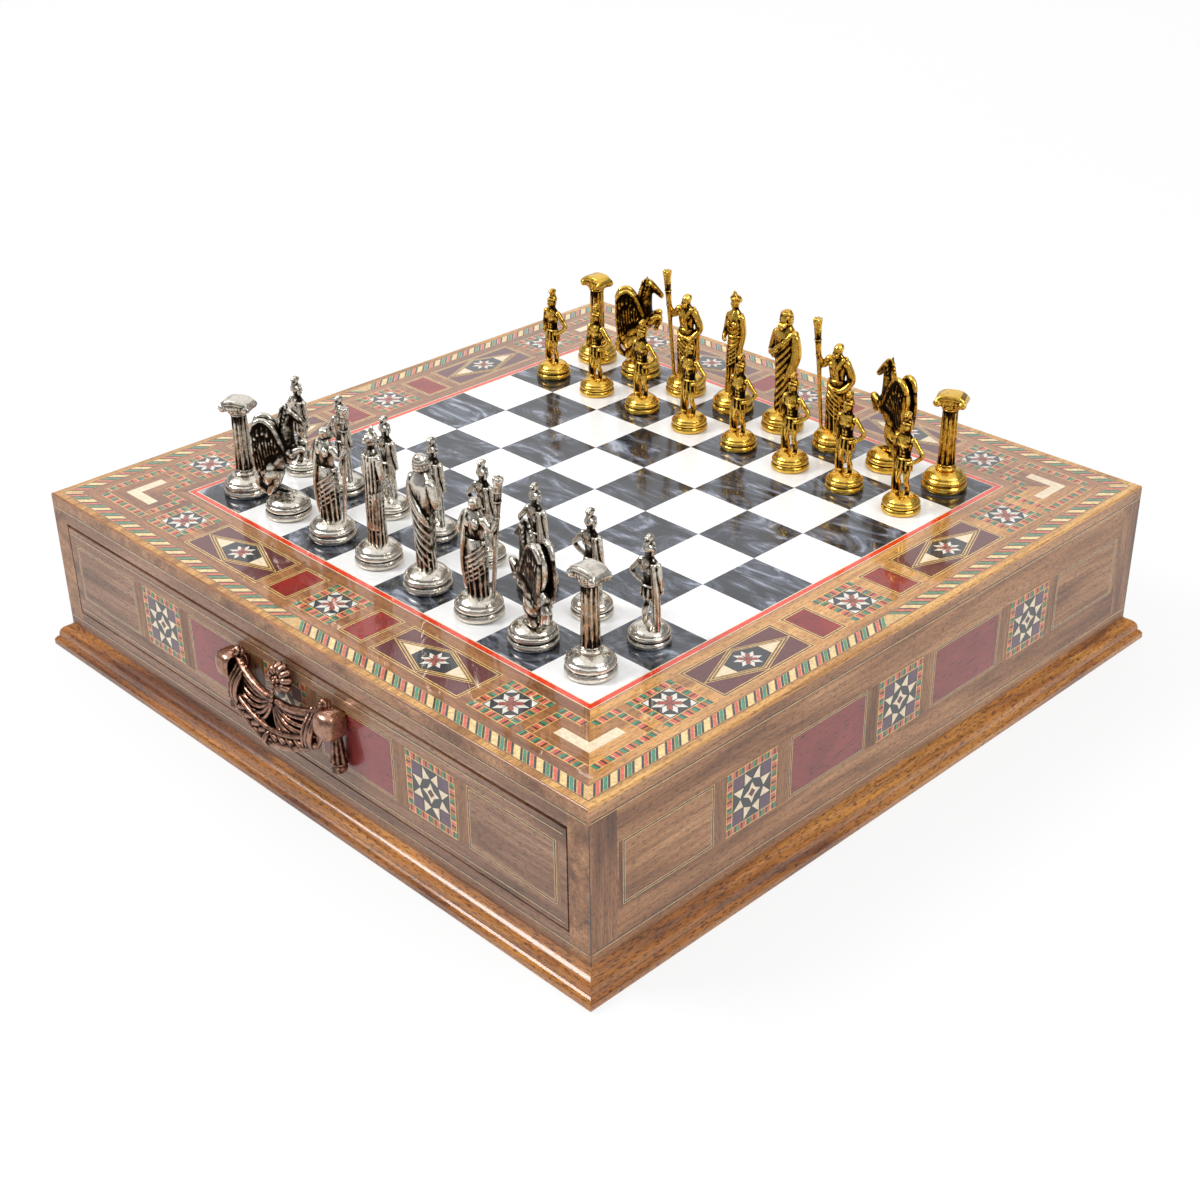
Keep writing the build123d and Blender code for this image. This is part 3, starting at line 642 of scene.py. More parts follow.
def border_side():
    """All the inlay of one side of the top."""
    made = Veneer()
    for place in star_places:
        for hand in (-1, 1) if place else (1,):
            made.add(top_star, at(hand * place, row_middle))
    for hand in (-1, 1):
        made.add(top_red, at(hand * red_place, row_middle))
        made.add(lozenge, at(hand * lozenge_place, row_middle))
        # Corner block: half of an L of mosaic on each side of the mitre, with a cream chevron
        outer, inner = corner_end - corner_start - corner_band, row_low - corner_start
        for length, x, y, turn in (
            (outer, corner_start + outer / 2, corner_end - corner_band / 2, 0.0),
            (inner, corner_start + inner / 2, row_low + corner_band / 2, 0.0),
            (2 * row_half - 2 * corner_band, corner_start + corner_band / 2, row_middle, pi / 2),
        ):
            strip = Veneer()
            mosaic_band(strip, length, corner_band, 0)
            made.add(strip, at(hand * x, y, turn))
        heel = chevron_tip - chevron_width
        chevron = [(hand * chevron_start, heel), (hand * heel, heel), (hand * chevron_tip, chevron_tip),
                   (hand * chevron_start, chevron_tip)]
        made.plate(chevron, 0, "cream")
        rope_half(made, hand)
    # Rope ground, plain edging and the thin lines along the side, mitred at both ends
    for near, far, tone in (
        (rope_inner, rope_outer, "straw"), (rope_inner - fine, rope_inner, "brown"),
        (rope_outer, rope_outer + fine, "brown"), (rope_outer + fine, half_case - edge_gap, "honey"),
        (squares_edge, squares_edge + fine, "cream"), (red_edge - fine, red_edge, "cream"),
        (red_edge, red_edge + hair, "brown"),
    ):
        made.plate([(-near, near), (near, near), (far, far), (-far, far)], 0, tone)
    return made


side_turns = {"front": 0, "right": 90, "back": 180, "left": 270}
outward = Matrix(((1, 0, 0, 0), (0, -1, 0, 0), (0, 0, 1, 0), (0, 0, 0, 1)))
border_inlay = border_side()
for side, turn in side_turns.items():
    lift = Matrix.Translation((0, 0, top_level))
    border_inlay.piece(
        f"border_inlay_{side}", "case", "border_marquetry",
        lift @ Matrix.Rotation(radians(turn), 4, "Z") @ outward
    )

# Marquetry of the upright faces. x runs along the face and y up.
inlay_middle, inlay_half = 49.5, 15.5
face_star_places = (0.0, 99.0)
face_red_place, face_red_half = 49.5, 25.5
face_walnut_place, face_walnut_half = 148.0, 26.0
face_star_half, face_star_field = 15.6, 11.8
face_star = star_frame(face_star_half, face_star_field, tile_star)
line_levels = (81.6, 19.0)
row_reach = 176.0
drawer_reach = 178.0
drawer_line_levels = (70.4, 27.6)
corner_strip = 15.0
plinth_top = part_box("plinth_front")[1].z / MM
# A double line about its level, pale wood below and dark above, and how far it stays off the corners
pale_low, pale_high, dark_high, line_inset = 0.7, 0.3, 0.25, 1.5
# Gaps from a corner strip to the lines, and the dark joint between two distances from the edge
gap_below, gap_above, joint_start, joint_end = 0.6, 0.8, 0.6, 0.1


def face_row(red):
    """The row of panels and stars on one upright face, on an upright-grained ground."""
    made = Veneer()
    made.box(-row_reach, inlay_middle - inlay_half, row_reach, inlay_middle + inlay_half, 0, "upright")
    for place in face_star_places:
        for hand in (-1, 1) if place else (1,):
            made.add(face_star, at(hand * place, inlay_middle, layers=1))
    for hand in (-1, 1):
        made.add(framed_panel(face_red_half, inlay_half, red, FINE_LINE),
            at(hand * face_red_place, inlay_middle, layers=1))
        tone = "dim" if red == "drawer_red" else "walnut"
        made.add(framed_panel(face_walnut_half, inlay_half, tone, FINE_LINE),
            at(hand * face_walnut_place, inlay_middle, layers=1))
    return made


def stringing(reach, levels):
    """Thin double lines along a face."""
    made = Veneer()
    for level in levels:
        made.box(-reach, level - pale_low, reach, level - pale_high, 0, "straw")
        made.box(-reach, level - pale_high, reach, level + dark_high, 0, "black")
    return made


def corner_strips():
    """Upright-grained strips beside both corners of a face, and the dark joint at the very edge."""
    made = Veneer()
    low, high = line_levels[1] + gap_below, line_levels[0] - gap_above
    for hand in (-1, 1):
        made.box(hand * (half_case - corner_strip), low, hand * (half_case - joint_start), high, 0, "upright")
        made.box(hand * (half_case - joint_start), plinth_top,
            hand * (half_case - joint_end), high, 0, "black")
    return made


upright = Matrix.Rotation(radians(90), 4, "X")
for side, turn in side_turns.items():
    stand = Matrix.Rotation(radians(turn), 4, "Z") @ Matrix.Translation((0, -half_case, 0)) @ upright
    stringing(half_case - line_inset, line_levels).piece(f"face_lines_{side}", "case", "wall_veneer", stand)
    if side == "front":
        row = face_row("drawer_red")
        row.add(stringing(drawer_reach, drawer_line_levels), Matrix.Identity(4))
        row.piece("drawer_inlay", "drawer", "drawer_veneer", stand)
    else:
        row = face_row("drawer_red" if side == "back" else "side_red")
        row.add(corner_strips(), Matrix.Identity(4))
        row.piece(f"face_inlay_{side}", "case", "wall_veneer", stand)


# Cast pieces: closed shapes gathered in millimetres, melted together and rubbed
# Rounding of a bar's end: how far past it and how wide, in shares of its radius
ROUND_END = [(0.92, 0.38), (0.70, 0.71), (0.38, 0.92)]


class Casting:
    """Overlapping closed shapes that become one skin."""

    def __init__(self):
        self.corners, self.faces = [], []

    def solid(self, rings):
        """A closed skin through rings of corners, shut by a point at each end."""
        count = len(rings[0])
        start = len(self.corners)
        middle_first = sum(rings[0], Vector()) / count
        middle_last = sum(rings[-1], Vector()) / count
        self.corners += [corner for ring in rings for corner in ring] + [middle_first, middle_last]
        first, last = start + count * len(rings), start + count * len(rings) + 1
        for level in range(len(rings) - 1):
            for step in range(count):
                after = (step + 1) % count
                low, high = start + level * count, start + (level + 1) * count
                self.faces.append((low + step, low + after, high + after, high + step))
        for step in range(count):
            after = (step + 1) % count
            self.faces.append((first, start + after, start + step))
            self.faces.append((last, last - 2 - count + 1 + step, last - 2 - count + 1 + after))

    def drape(self, sections, depth, sides=28, flute=0.0, flutes=0):
        """A standing body through ovals: height, half width, sideways, forwards."""
        rings = []
        for up, across, aside, ahead in sections:
            ring = []
            for step in range(sides):
                turn = 2 * pi * step / sides
                swell = 1 + flute * cos(flutes * turn)
                ring.append(Vector((aside + across * swell * cos(turn),
                    ahead + across * depth * swell * sin(turn), up)))
            rings.append(ring)
        self.solid(rings)

    def tube(self, points, radii, sides=12):
        """A bar along a smooth line, rounded at both ends."""
        line, girth = smooth_line(points, radii)
        turns = [2 * pi * corner / sides for corner in range(sides)]
        rings = []
        side = (line[1] - line[0]).orthogonal().normalized()
        for step, (place, radius) in enumerate(zip(line, girth)):
            forward = (line[min(step + 1, len(line) - 1)] - line[max(step - 1, 0)]).normalized()
            side = (side - forward * side.dot(forward)).normalized()
            over = forward.cross(side)
            rows = [(0.0, 1.0)]
            if step == 0:
                rows = [(-along, share) for along, share in ROUND_END] + rows
            if step == len(line) - 1:
                rows += ROUND_END[::-1]
            for along, share in rows:
                middle = place + forward * radius * along
                rings.append([middle + (side * cos(t) + over * sin(t)) * radius * share for t in turns])
        self.solid(rings)

    def blob(self, centre, radii, turn=(0.0, 0.0, 0.0)):
        """A rounded mass with its own three half sizes."""
        spin = Matrix.Rotation(turn[2], 3, "Z") @ Matrix.Rotation(turn[1], 3,
            "Y") @ Matrix.Rotation(turn[0], 3, "X")
        half = Vector(radii if isinstance(radii, tuple) else (radii,) * 3)
        rings = []
        for level in range(1, 10):
            tilt = pi * level / 10
            ring = []
            for step in range(16):
                turned = 2 * pi * step / 16
                point = Vector((sin(tilt) * cos(turned) * half.x, sin(tilt) * sin(turned) * half.y,
                    -cos(tilt) * half.z))
                ring.append(Vector(centre) + spin @ point)
            rings.append(ring)
        self.solid(rings)

    def slab(self, outline, low, high):
        """A flat plate with this outline between two levels of z."""
        self.solid([[Vector((x, y, low)) for x, y in outline], [Vector((x, y, high)) for x, y in outline]])

    def melt(self, name, voxel, triangles):
        """One skin over all the shapes, thinned to about this many triangles, in millimetres."""
        mesh = bpy.data.meshes.new(name)
        mesh.from_pydata(self.corners, [], self.faces)
        holder = new_object(name, mesh)
        skin = holder.modifiers.new("skin", "REMESH")
        skin.mode = "VOXEL"
        skin.voxel_size = voxel
        soften = holder.modifiers.new("soften", "SMOOTH")
        soften.factor = 0.5
        soften.iterations = 2
        ready = holder.evaluated_get(bpy.context.evaluated_depsgraph_get())
        melted = bpy.data.meshes.new_from_object(ready)
        holder.modifiers.clear()
        holder.data = melted
        count = 2 * len(melted.polygons)
        thin = holder.modifiers.new("thin", "DECIMATE")
        thin.ratio = min(1.0, triangles / max(count, 1))
        ready = holder.evaluated_get(bpy.context.evaluated_depsgraph_get())
        made = bpy.data.meshes.new_from_object(ready)
        bpy.data.objects.remove(holder)
        return made


def smooth_line(points, radii, parts=5):
    """A line through points by Catmull-Rom, with its radii."""
    places = [Vector(point) for point in points]
    if len(places) == 2:
        return places, list(radii)
    line, girth = [], []
    for step in range(len(places) - 1):
        before = places[max(step - 1, 0)]
        start, end = places[step], places[step + 1]
        after = places[min(step + 2, len(places) - 1)]
        for part in range(parts):
            t = part / parts
            line.append(0.5 * ((2 * start) + (end - before) * t
                               + (2 * before - 5 * start + 4 * end - after) * t * t
                               + (3 * start - before - 3 * end + after) * t ** 3))
            girth.append(radii[step] + (radii[step + 1] - radii[step]) * t)
    return line + [places[-1]], girth + [radii[-1]]


def lathe(profile, sides=56):
    """A turned shape: (radius, height) points about z, as a mesh in millimetres."""
    shape = Casting()
    rings = []
    for radius, up in profile:
        radius = max(radius, 0.001)
        rings.append([Vector((radius * cos(2 * pi * s / sides), radius * sin(2 * pi * s / sides), up))
            for s in range(sides)])
    shape.solid(rings)
    mesh = bpy.data.meshes.new("turned")
    mesh.from_pydata(shape.corners, [], shape.faces)
    return mesh


def joined(name, meshes):
    """Several meshes as one."""
    made = bmesh.new()
    for mesh in meshes:
        made.from_mesh(mesh)
        bpy.data.meshes.remove(mesh)
    bmesh.ops.recalc_face_normals(made, faces=made.faces)
    mesh = bpy.data.meshes.new(name)
    made.to_mesh(mesh)
    made.free()
    return mesh


def rub(mesh, bright, dark):
    """Mark how proud each corner stands: so many in a hundred fully bright, so many fully dark."""
    count = len(mesh.vertices)
    place, normal = np.zeros(count * 3), np.zeros(count * 3)
    mesh.vertices.foreach_get("co", place)
    mesh.vertices.foreach_get("normal", normal)
    place, normal = place.reshape(-1, 3), normal.reshape(-1, 3)
    edges = np.zeros(len(mesh.edges) * 2, dtype=int)
    mesh.edges.foreach_get("vertices", edges)
    first, second = edges.reshape(-1, 2).T
    links = np.maximum(np.bincount(first, minlength=count) + np.bincount(second, minlength=count), 1)[:, None]
    proud = np.zeros(count)
    # Against its near and its far surroundings, by rounds of smoothing
    for reach, weight in ((3, 1.0), (16, 0.8)):
        soft = place.copy()
        for _ in range(reach):
            total = np.zeros_like(soft)
            np.add.at(total, first, soft[second])
            np.add.at(total, second, soft[first])
            soft = 0.35 * soft + 0.65 * total / links
        gap = ((place - soft) * normal).sum(1)
        proud += weight * gap / gap.std()
    low, high = np.percentile(proud, (dark, 100 - bright))
    worn = np.clip((proud - low) / (high - low), 0.0, 1.0)
    attribute = mesh.attributes.new("worn", "FLOAT", "POINT")
    attribute.data.foreach_set("value", worn.astype(np.float32))


base_profile_shares = [(0.90, 0.0), (0.955, 0.03), (0.99, 0.09), (1.0, 0.16), (0.99, 0.24),
                       (0.955, 0.31), (0.915, 0.345),
                       (0.912, 0.375), (0.94, 0.405), (0.956, 0.46), (0.956, 0.52),
                       (0.935, 0.585), (0.885, 0.62),
                       (0.862, 0.635), (0.858, 0.665), (0.835, 0.71), (0.76, 0.79), (0.62, 0.88),
                       (0.42, 0.95), (0.2, 0.99), (0.05, 1.0)]


def base(radius, height):
    """The stepped foot of a figure, as a mesh in millimetres."""
    return lathe([(across * radius, up * height) for across, up in base_profile_shares])


def fold(casting, sections, depth, stops, radius):
    """A raised fold on a draped body, through (turn in degrees, height) stops."""
    heights = [section[0] for section in sections]
    points = []
    for turn, up in stops:
        across = np.interp(up, heights, [section[1] for section in sections])
        aside = np.interp(up, heights, [section[2] for section in sections])
        ahead = np.interp(up, heights, [section[3] for section in sections])
        angle = radians(turn)
        points.append((aside + across * cos(angle), ahead + across * depth * sin(angle), up))
    casting.tube(points, [radius * 0.7] + [radius] * (len(points) - 2) + [radius * 0.7], 8)


def hang_folds(casting, sections, depth, count, low, high, radius, twist=0.0, start=0.0):
    """Upright folds spaced round a skirt."""
    for step in range(count):
        turn = start + 360.0 * step / count
        middle = (low + high) / 2
        fold(casting, sections, depth,
            [(turn, low), (turn + twist / 2, middle), (turn + twist, high)], radius)


def belt(casting, across, ahead, up, radius):
    """A cord round a waist."""
    ring = [(cos(radians(turn)) * across, sin(radians(turn)) * ahead, up) for turn in range(0, 361, 24)]
    casting.tube(ring, [radius] * len(ring), 8)


def scroll(radius, shrink, count, start=0):
    """Points of a flat spiral that winds inwards, 40 degrees a step."""
    return [polar(radius - shrink * step, radians(start + 40 * step)) for step in range(count)]


def calm_face(casting, centre, size):
    """A plain face looking along +Y, on a head of this half width."""
    x, y, z = centre
    front = y + size * 0.98
    casting.tube([(x, front - size * 0.06, z + size * 0.28), (x, front + size * 0.17, z - size * 0.16)],
        [size * 0.10, size * 0.15], 8)
    for hand in (-1, 1):
        casting.tube([(x + hand * size * 0.12, front, z + size * 0.32),
                     (x + hand * size * 0.55, front - size * 0.12, z + size * 0.30)],
                     [size * 0.11, size * 0.09], 8)
        casting.blob((x + hand * size * 0.46, front - size * 0.20, z - size * 0.22),
            (size * 0.26, size * 0.2, size * 0.26))
    casting.tube([(x - size * 0.24, front - size * 0.02, z - size * 0.48),
                 (x + size * 0.24, front - size * 0.02, z - size * 0.48)], [size * 0.09, size * 0.09], 8)
    casting.blob((x, front - size * 0.12, z - size * 0.80), (size * 0.34, size * 0.26, size * 0.26))


def king_casting():
    """A bearded figure in a long robe, with one hand at the chest."""
    made = Casting()
    depth = 0.76
    robe = [(6.6, 5.2, 0, 0), (14, 4.9, 0, 0), (20, 5.0, 0, 0), (32, 5.4, 0, 0), (43.5, 6.1, 0, 0),
        (52, 6.5, 0, 0), (55.8, 4.6, 0, 0), (59.5, 2.3, 0, 0.2)]
    made.drape(robe, depth)
    for step in range(9):
        high = 53.5 - 4.2 * step
        fold(made, robe, depth,
            [(165, high), (120, high - 5.5), (70, high - 11), (20, min(high - 15, 40))], 0.8)
        if step < 7:
            fold(made, robe, depth, [(190, high), (240, high - 7), (290, high - 13), (335, high - 17)], 0.8)
    hang_folds(made, robe, depth, 13, 7.5, 20, 0.6, -14)
    made.tube([(-5.2, 1.5, 53.5), (-2.0, 4.3, 49), (2.6, 5.2, 44.5), (5.4, 3.2, 40)], [1.5, 1.5, 1.4, 1.1])
    made.tube([(-5.4, -1.5, 53.5), (-2.0, -4.4, 47), (3.0, -5.0, 40), (5.4, -3.0, 34)], [1.5, 1.5, 1.4, 1.1])
    made.blob((-5.4, 0, 53), (2.6, 2.9, 2.6))
    made.blob((5.6, 0, 52.6), (2.2, 2.4, 2.3))
    made.tube([(6.3, 0, 52), (8.2, 0.8, 43), (5.6, 4.0, 42.4), (1.8, 5.8, 44.6)], [2.3, 2.1, 1.8, 1.4])
    made.blob((1.2, 6.1, 45.0), (1.5, 1.1, 1.3))
    made.tube([(-6.4, 0, 51), (-7.6, 0.4, 42), (-6.4, 3.2, 34), (-5.2, 4.4, 32)], [2.6, 2.9, 2.2, 1.5])
    made.blob((-5.0, 4.9, 31.2), (1.3, 1.3, 1.6))
    made.tube([(-7.0, 0.6, 40), (-6.8, 1.0, 30), (-5.6, 0.8, 20)], [1.6, 1.5, 1.1])
    made.tube([(0, 0.2, 54), (0, 0.4, 58.5)], [2.4, 2.1])
    made.blob((0, 0.5, 60.8), (2.75, 3.1, 3.6))
    calm_face(made, (0, 0.6, 60.6), 2.75)
    for step in range(11):
        for level, out, lag in ((58.9, 1.0, 0), (60.4, 1.06, 12), (61.9, 1.04, 0), (63.3, 0.92, 12)):
            turn = radians(146 + lag + 236 * step / 10)
            made.blob((cos(turn) * 2.8 * out, sin(turn) * 3.0 * out, level), (0.85, 0.85, 0.95))
    for step in range(7):
        turn = pi * step / 6
        made.blob((cos(turn) * 2.3, 0.6 + sin(turn) * 1.7, 64.0), 0.95)
    made.blob((0, -0.4, 63.9), (2.6, 2.8, 2.0))
    for aside, low in ((-1.7, 57.2), (-0.9, 56.0), (0.0, 55.5), (0.9, 56.0), (1.7, 57.2)):
        made.tube([(aside * 1.1, 2.7, 59.0), (aside, 3.7, 57.6), (aside * 0.7, 3.6, low)],
            [0.75, 0.9, 0.5], 8)
    return made


def queen_casting():
    """A figure in a pleated gown and a crown."""
    made = Casting()
    depth = 0.82
    gown = [(6.8, 5.3, 0, 0), (11, 4.5, 0, 0), (20, 4.2, 0, 0), (34, 4.6, 0, 0), (42.5, 3.7, 0, 0),
        (50, 4.6, 0, 0.3), (54, 4.2, 0, 0), (57.5, 1.8, 0, 0), (60, 1.7, 0, 0.2)]
    made.drape(gown, depth)
    hang_folds(made, gown, depth, 14, 7.6, 36, 0.62, 6)
    hang_folds(made, gown, depth, 9, 7.2, 16, 0.5, -8, 12)
    for step in range(5):
        high = 53.5 - 2.6 * step
        fold(made, gown, depth,
            [(165, high - 3), (125, high - 5), (90, high - 5.6), (55, high - 5), (15, high - 2)], 0.42)
    for step in range(5):
        low = 39.5 - 2.3 * step
        fold(made, gown, depth, [(170, low + 2), (120, low - 1.5), (80, low - 4.0), (20, low - 7)], 0.55)
        fold(made, gown, depth, [(190, low + 2), (240, low - 2.0), (290, low - 4.0), (340, low - 7)], 0.5)
    belt(made, 3.8, 3.2, 42.6, 0.62)
    for step in range(6):
        turn = 210 + 24 * step
        fold(made, gown, 0.9, [(turn, 54), (turn, 40), (turn - 6, 18)], 0.75)
    for hand in (-1, 1):
        made.blob((hand * 3.9, 0, 53.2), (1.9, 2.1, 2.0))
        made.blob((hand * 1.8, 3.3, 49.6), (1.6, 1.2, 1.6))
    made.tube([(4.5, 0, 52.8), (6.0, 0.2, 45), (5.4, 2.6, 41), (3.2, 4.6, 40.4)], [1.8, 1.6, 1.35, 1.1])
    made.blob((2.8, 5.0, 40.6), (1.1, 1.0, 1.0))
    made.tube([(-4.5, 0, 52.8), (-5.9, 0.0, 45), (-5.8, 1.6, 38), (-5.2, 2.6, 34.5)], [1.8, 1.6, 1.3, 1.05])
    made.blob((-5.1, 3.0, 33.4), (0.9, 1.0, 1.4))
    made.tube([(-5.6, 1.6, 36), (-5.6, 1.2, 27), (-4.9, 0.8, 17)], [1.4, 1.5, 0.9])
    made.tube([(0, 0, 55.5), (0, 0.3, 59)], [1.7, 1.55])
    made.blob((0, 0.4, 61.0), (2.35, 2.7, 3.1))
    calm_face(made, (0, 0.5, 60.8), 2.35)
    made.blob((0, -0.8, 62.4), (2.7, 2.8, 2.3))
    made.blob((0, -3.0, 61.4), (1.6, 1.5, 1.6))
    for step in range(9):
        turn = radians(20 + 140 * step / 8)
        made.blob((cos(turn) * 2.5, 0.2 + sin(turn) * 2.3, 63.4), 0.72)
    for step in range(7):
        turn = radians(35 + 110 * step / 6)
        tall = 66.2 - 2.0 * abs(step - 3) / 3
        made.tube([(cos(turn) * 2.4, sin(turn) * 1.9, 63.6),
            (cos(turn) * 2.1, sin(turn) * 1.6, tall)], [0.62, 0.5], 8)
    made.tube([(0, 0.4, 64), (0, 0.9, 66.3), (0, 1.3, 67.1)], [1.5, 1.0, 0.7])
    return made


def bishop_casting():
    """A figure in a long skirt with a tall torch."""
    made = Casting()
    depth = 0.80
    skirt = [(6.8, 5.4, 0, 0), (12, 4.9, 0, 0), (19, 5.2, 0, 0), (28, 5.7, 0, 0),
        (33.5, 5.2, 0, 0), (37.5, 4.3, 0, 0)]
    made.drape(skirt, depth)
    torso = [(34, 4.5, 0, 0), (37.4, 4.2, 0, 0), (42, 5.0, 0, 0.2), (46, 5.5, 0, 0.2), (48.6, 4.2, 0, 0),
        (51.5, 2.0, 0, 0.1), (53, 1.9, 0, 0.2)]
    made.drape(torso, 0.66)
    hang_folds(made, skirt, depth, 12, 7.4, 26, 0.6, -10)
    for step in range(6):
        high = 36.0 - 2.5 * step
        fold(made, skirt, depth, [(10, high - 1), (60, high - 2), (110, high - 5), (165, high - 9)], 0.6)
        fold(made, skirt, depth,
            [(-10, high - 1), (-60, high - 4), (-120, high - 8), (-170, high - 11)], 0.55)
    made.tube([(4.9, 0, 36.2), (2.0, 3.9, 34.6), (-2.5, 4.2, 33.4), (-5.0, 1.0, 34.5)],
        [0.95, 1.1, 1.1, 0.95])
    for hand in (-1, 1):
        made.blob((hand * 2.2, 2.7, 45.4), (2.35, 1.25, 1.75))
        made.blob((hand * 5.7, 0, 47.0), (2.2, 2.2, 2.2))
        made.blob((hand * 2.4, -2.6, 45.2), (2.2, 1.2, 2.4))
        for level in (39.2, 41.4):
            made.blob((hand * 1.0, 2.75, level), (0.95, 0.6, 0.95))
    made.tube([(6.0, 0, 47), (8.6, 1.4, 43.4), (10.0, 3.4, 48.6)], [2.0, 1.75, 1.35])
    made.blob((10.2, 3.6, 49.2), (1.5, 1.6, 1.5))
    made.tube([(-6.0, 0, 47), (-9.0, -1.0, 39), (-6.6, 2.6, 34.2), (-4.4, 4.2, 33.2)], [2.0, 1.75, 1.5, 1.25])
    made.tube([(6.8, 2.5, 7.6), (8.6, 3.1, 30), (9.8, 3.5, 46), (11.0, 3.8, 60), (11.3, 3.9, 65)],
        [0.95, 1.05, 1.3, 1.8, 2.1])
    made.blob((11.4, 3.9, 66.4), (2.5, 2.4, 2.1))
    for step in range(6):
        turn = radians(60 * step)
        made.blob((11.4 + cos(turn) * 1.7, 3.9 + sin(turn) * 1.6, 67.2), (0.95, 0.95, 1.5))
    for level in (57, 61.5, 64.4):
        made.blob((10.8 + (level - 57) * 0.06, 3.75, level), (2.1, 2.1, 0.55))
    for step in range(4):
        shift = step * 0.9
        made.tube([(-3.2 - shift * 0.6, -2.0 + shift * 0.4, 49.0),
                   (-4.4 - shift * 0.7, -3.4 + shift * 0.5, 38),
                   (-5.4 - shift * 0.5, -3.4 + shift * 0.7, 24),
                   (-5.0 - shift * 0.4, -2.6 + shift * 0.6, 12.5)], [1.0, 1.15, 1.2, 0.9], 8)
    made.tube([(-4.6, 1.8, 49.2), (-2.4, 3.6, 44.0), (-3.4, 4.0, 38)], [1.3, 1.1, 0.8])
    made.tube([(0, 0, 48.5), (0, 0.2, 51.5)], [1.9, 1.75])
    made.blob((0, 0.4, 53.4), (2.4, 2.75, 3.15))
    calm_face(made, (0, 0.5, 53.3), 2.4)
    made.blob((0, -0.3, 54.4), (2.45, 2.7, 2.25))
    for aside in (-1.3, -0.5, 0.5, 1.3):
        made.tube([(aside * 1.15, 2.4, 51.9), (aside, 3.0, 50.8), (aside * 0.7, 2.8, 49.8)],
            [0.6, 0.66, 0.4], 8)
    return made


def pawn_casting():
    """A soldier in a crested helmet with one hand at the hip."""
    made = Casting()
    torso = [(23.5, 3.6, 0, 0), (25.5, 3.7, 0, 0), (28.5, 3.15, 0, 0), (31.5, 3.2, 0, 0), (35.5, 4.3, 0, 0.1),
        (38.3, 4.2, 0, 0.0), (40.2, 2.5, 0, 0), (43, 1.6, 0, 0.1)]
    made.drape(torso, 0.70)
    depth = 0.74
    skirt = [(21.8, 4.3, 0, 0), (24.8, 4.0, 0, 0), (27.4, 3.5, 0, 0)]
    made.drape(skirt, depth)
    hang_folds(made, skirt, depth, 11, 21.6, 27, 0.62)
    belt(made, 3.45, 2.5, 27.6, 0.55)
    for hand, ahead in ((-1, 1.6), (1, 0.2)):
        made.tube([(hand * 2.0, 0, 24.5), (hand * 2.7, ahead * 0.8, 20), (hand * 3.0, ahead, 16.6),
                  (hand * 3.2, ahead - 1.2, 13), (hand * 3.3, ahead - 1.0, 8)],
                  [2.0, 1.75, 1.3, 1.45, 0.95], 12)
        made.blob((hand * 3.4, ahead - 0.2, 8.9), (1.2, 2.1, 0.95))
        made.blob((hand * 3.0, ahead + 0.6, 16.8), (1.0, 0.9, 1.15))
    for hand in (-1, 1):
        made.blob((hand * 1.7, 2.3, 35.2), (1.75, 0.75, 1.3))
        made.blob((hand * 4.6, 0, 37.8), (1.7, 1.7, 1.6))
        made.blob((hand * 0.8, 2.15, 31.4), (0.75, 0.4, 0.8))
        made.blob((hand * 0.75, 2.1, 29.6), (0.7, 0.4, 0.75))
        made.blob((hand * 1.8, -2.2, 35.4), (1.7, 0.8, 2.0))
    made.tube([(-4.8, 0, 37.8), (-7.4, -0.4, 34.4), (-9.7, -0.6, 31.2), (-7.2, 0.6, 28.0), (-3.9, 1.6, 26.2)],
        [1.5, 1.4, 1.2, 1.15, 1.05])
    made.blob((-3.7, 1.8, 26.2), (1.1, 1.0, 1.0))
    made.tube([(4.8, 0, 37.8), (5.9, -0.2, 32.5), (6.1, 0.4, 27.0)], [1.5, 1.4, 1.2])
    made.blob((6.1, 0.6, 25.8), (1.05, 1.2, 1.4))
    for step in range(4):
        turn = radians(-120 + 50 * step)
        made.tube([(3.6 + cos(turn) * 0.8, -1.8 + sin(turn) * 0.5, 38.4),
                   (5.4 + cos(turn) * 1.0, -2.0 + sin(turn) * 0.8, 26),
                   (5.9 + cos(turn) * 1.1, -1.9 + sin(turn) * 1.0, 16),
                   (5.8 + cos(turn) * 0.9, -1.6 + sin(turn) * 0.8, 8.0)], [0.7, 0.85, 0.9, 0.75], 8)
    made.tube([(0, 0, 39.5), (0, 0.2, 42.5)], [1.75, 1.6])
    made.blob((0, 0.5, 43.9), (2.2, 2.5, 2.9))
    calm_face(made, (0, 0.65, 43.5), 2.2)
    made.blob((0, -0.7, 45.2), (2.45, 2.6, 2.3))
    made.tube([(-2.3, 0.6, 45.4), (0, 2.5, 46.1), (2.3, 0.6, 45.4)], [0.5, 0.55, 0.5], 8)
    for hand in (-1, 1):
        made.tube([(hand * 2.2, -0.6, 44.6), (hand * 2.0, -0.4, 42.0)], [0.7, 0.55], 8)
    made.tube([(0, -1.8, 46.6), (0, -0.8, 48.2), (0, 0.6, 47.4)], [1.2, 1.4, 0.9])
    made.blob((0, -0.4, 49.2), (1.5, 1.9, 1.7))
    for step in range(5):
        made.blob((0, -2.2 + 0.9 * step, 49.4 + 1.3 * sin(pi * (step + 0.5) / 5)), (1.15, 0.7, 0.9))
    return made


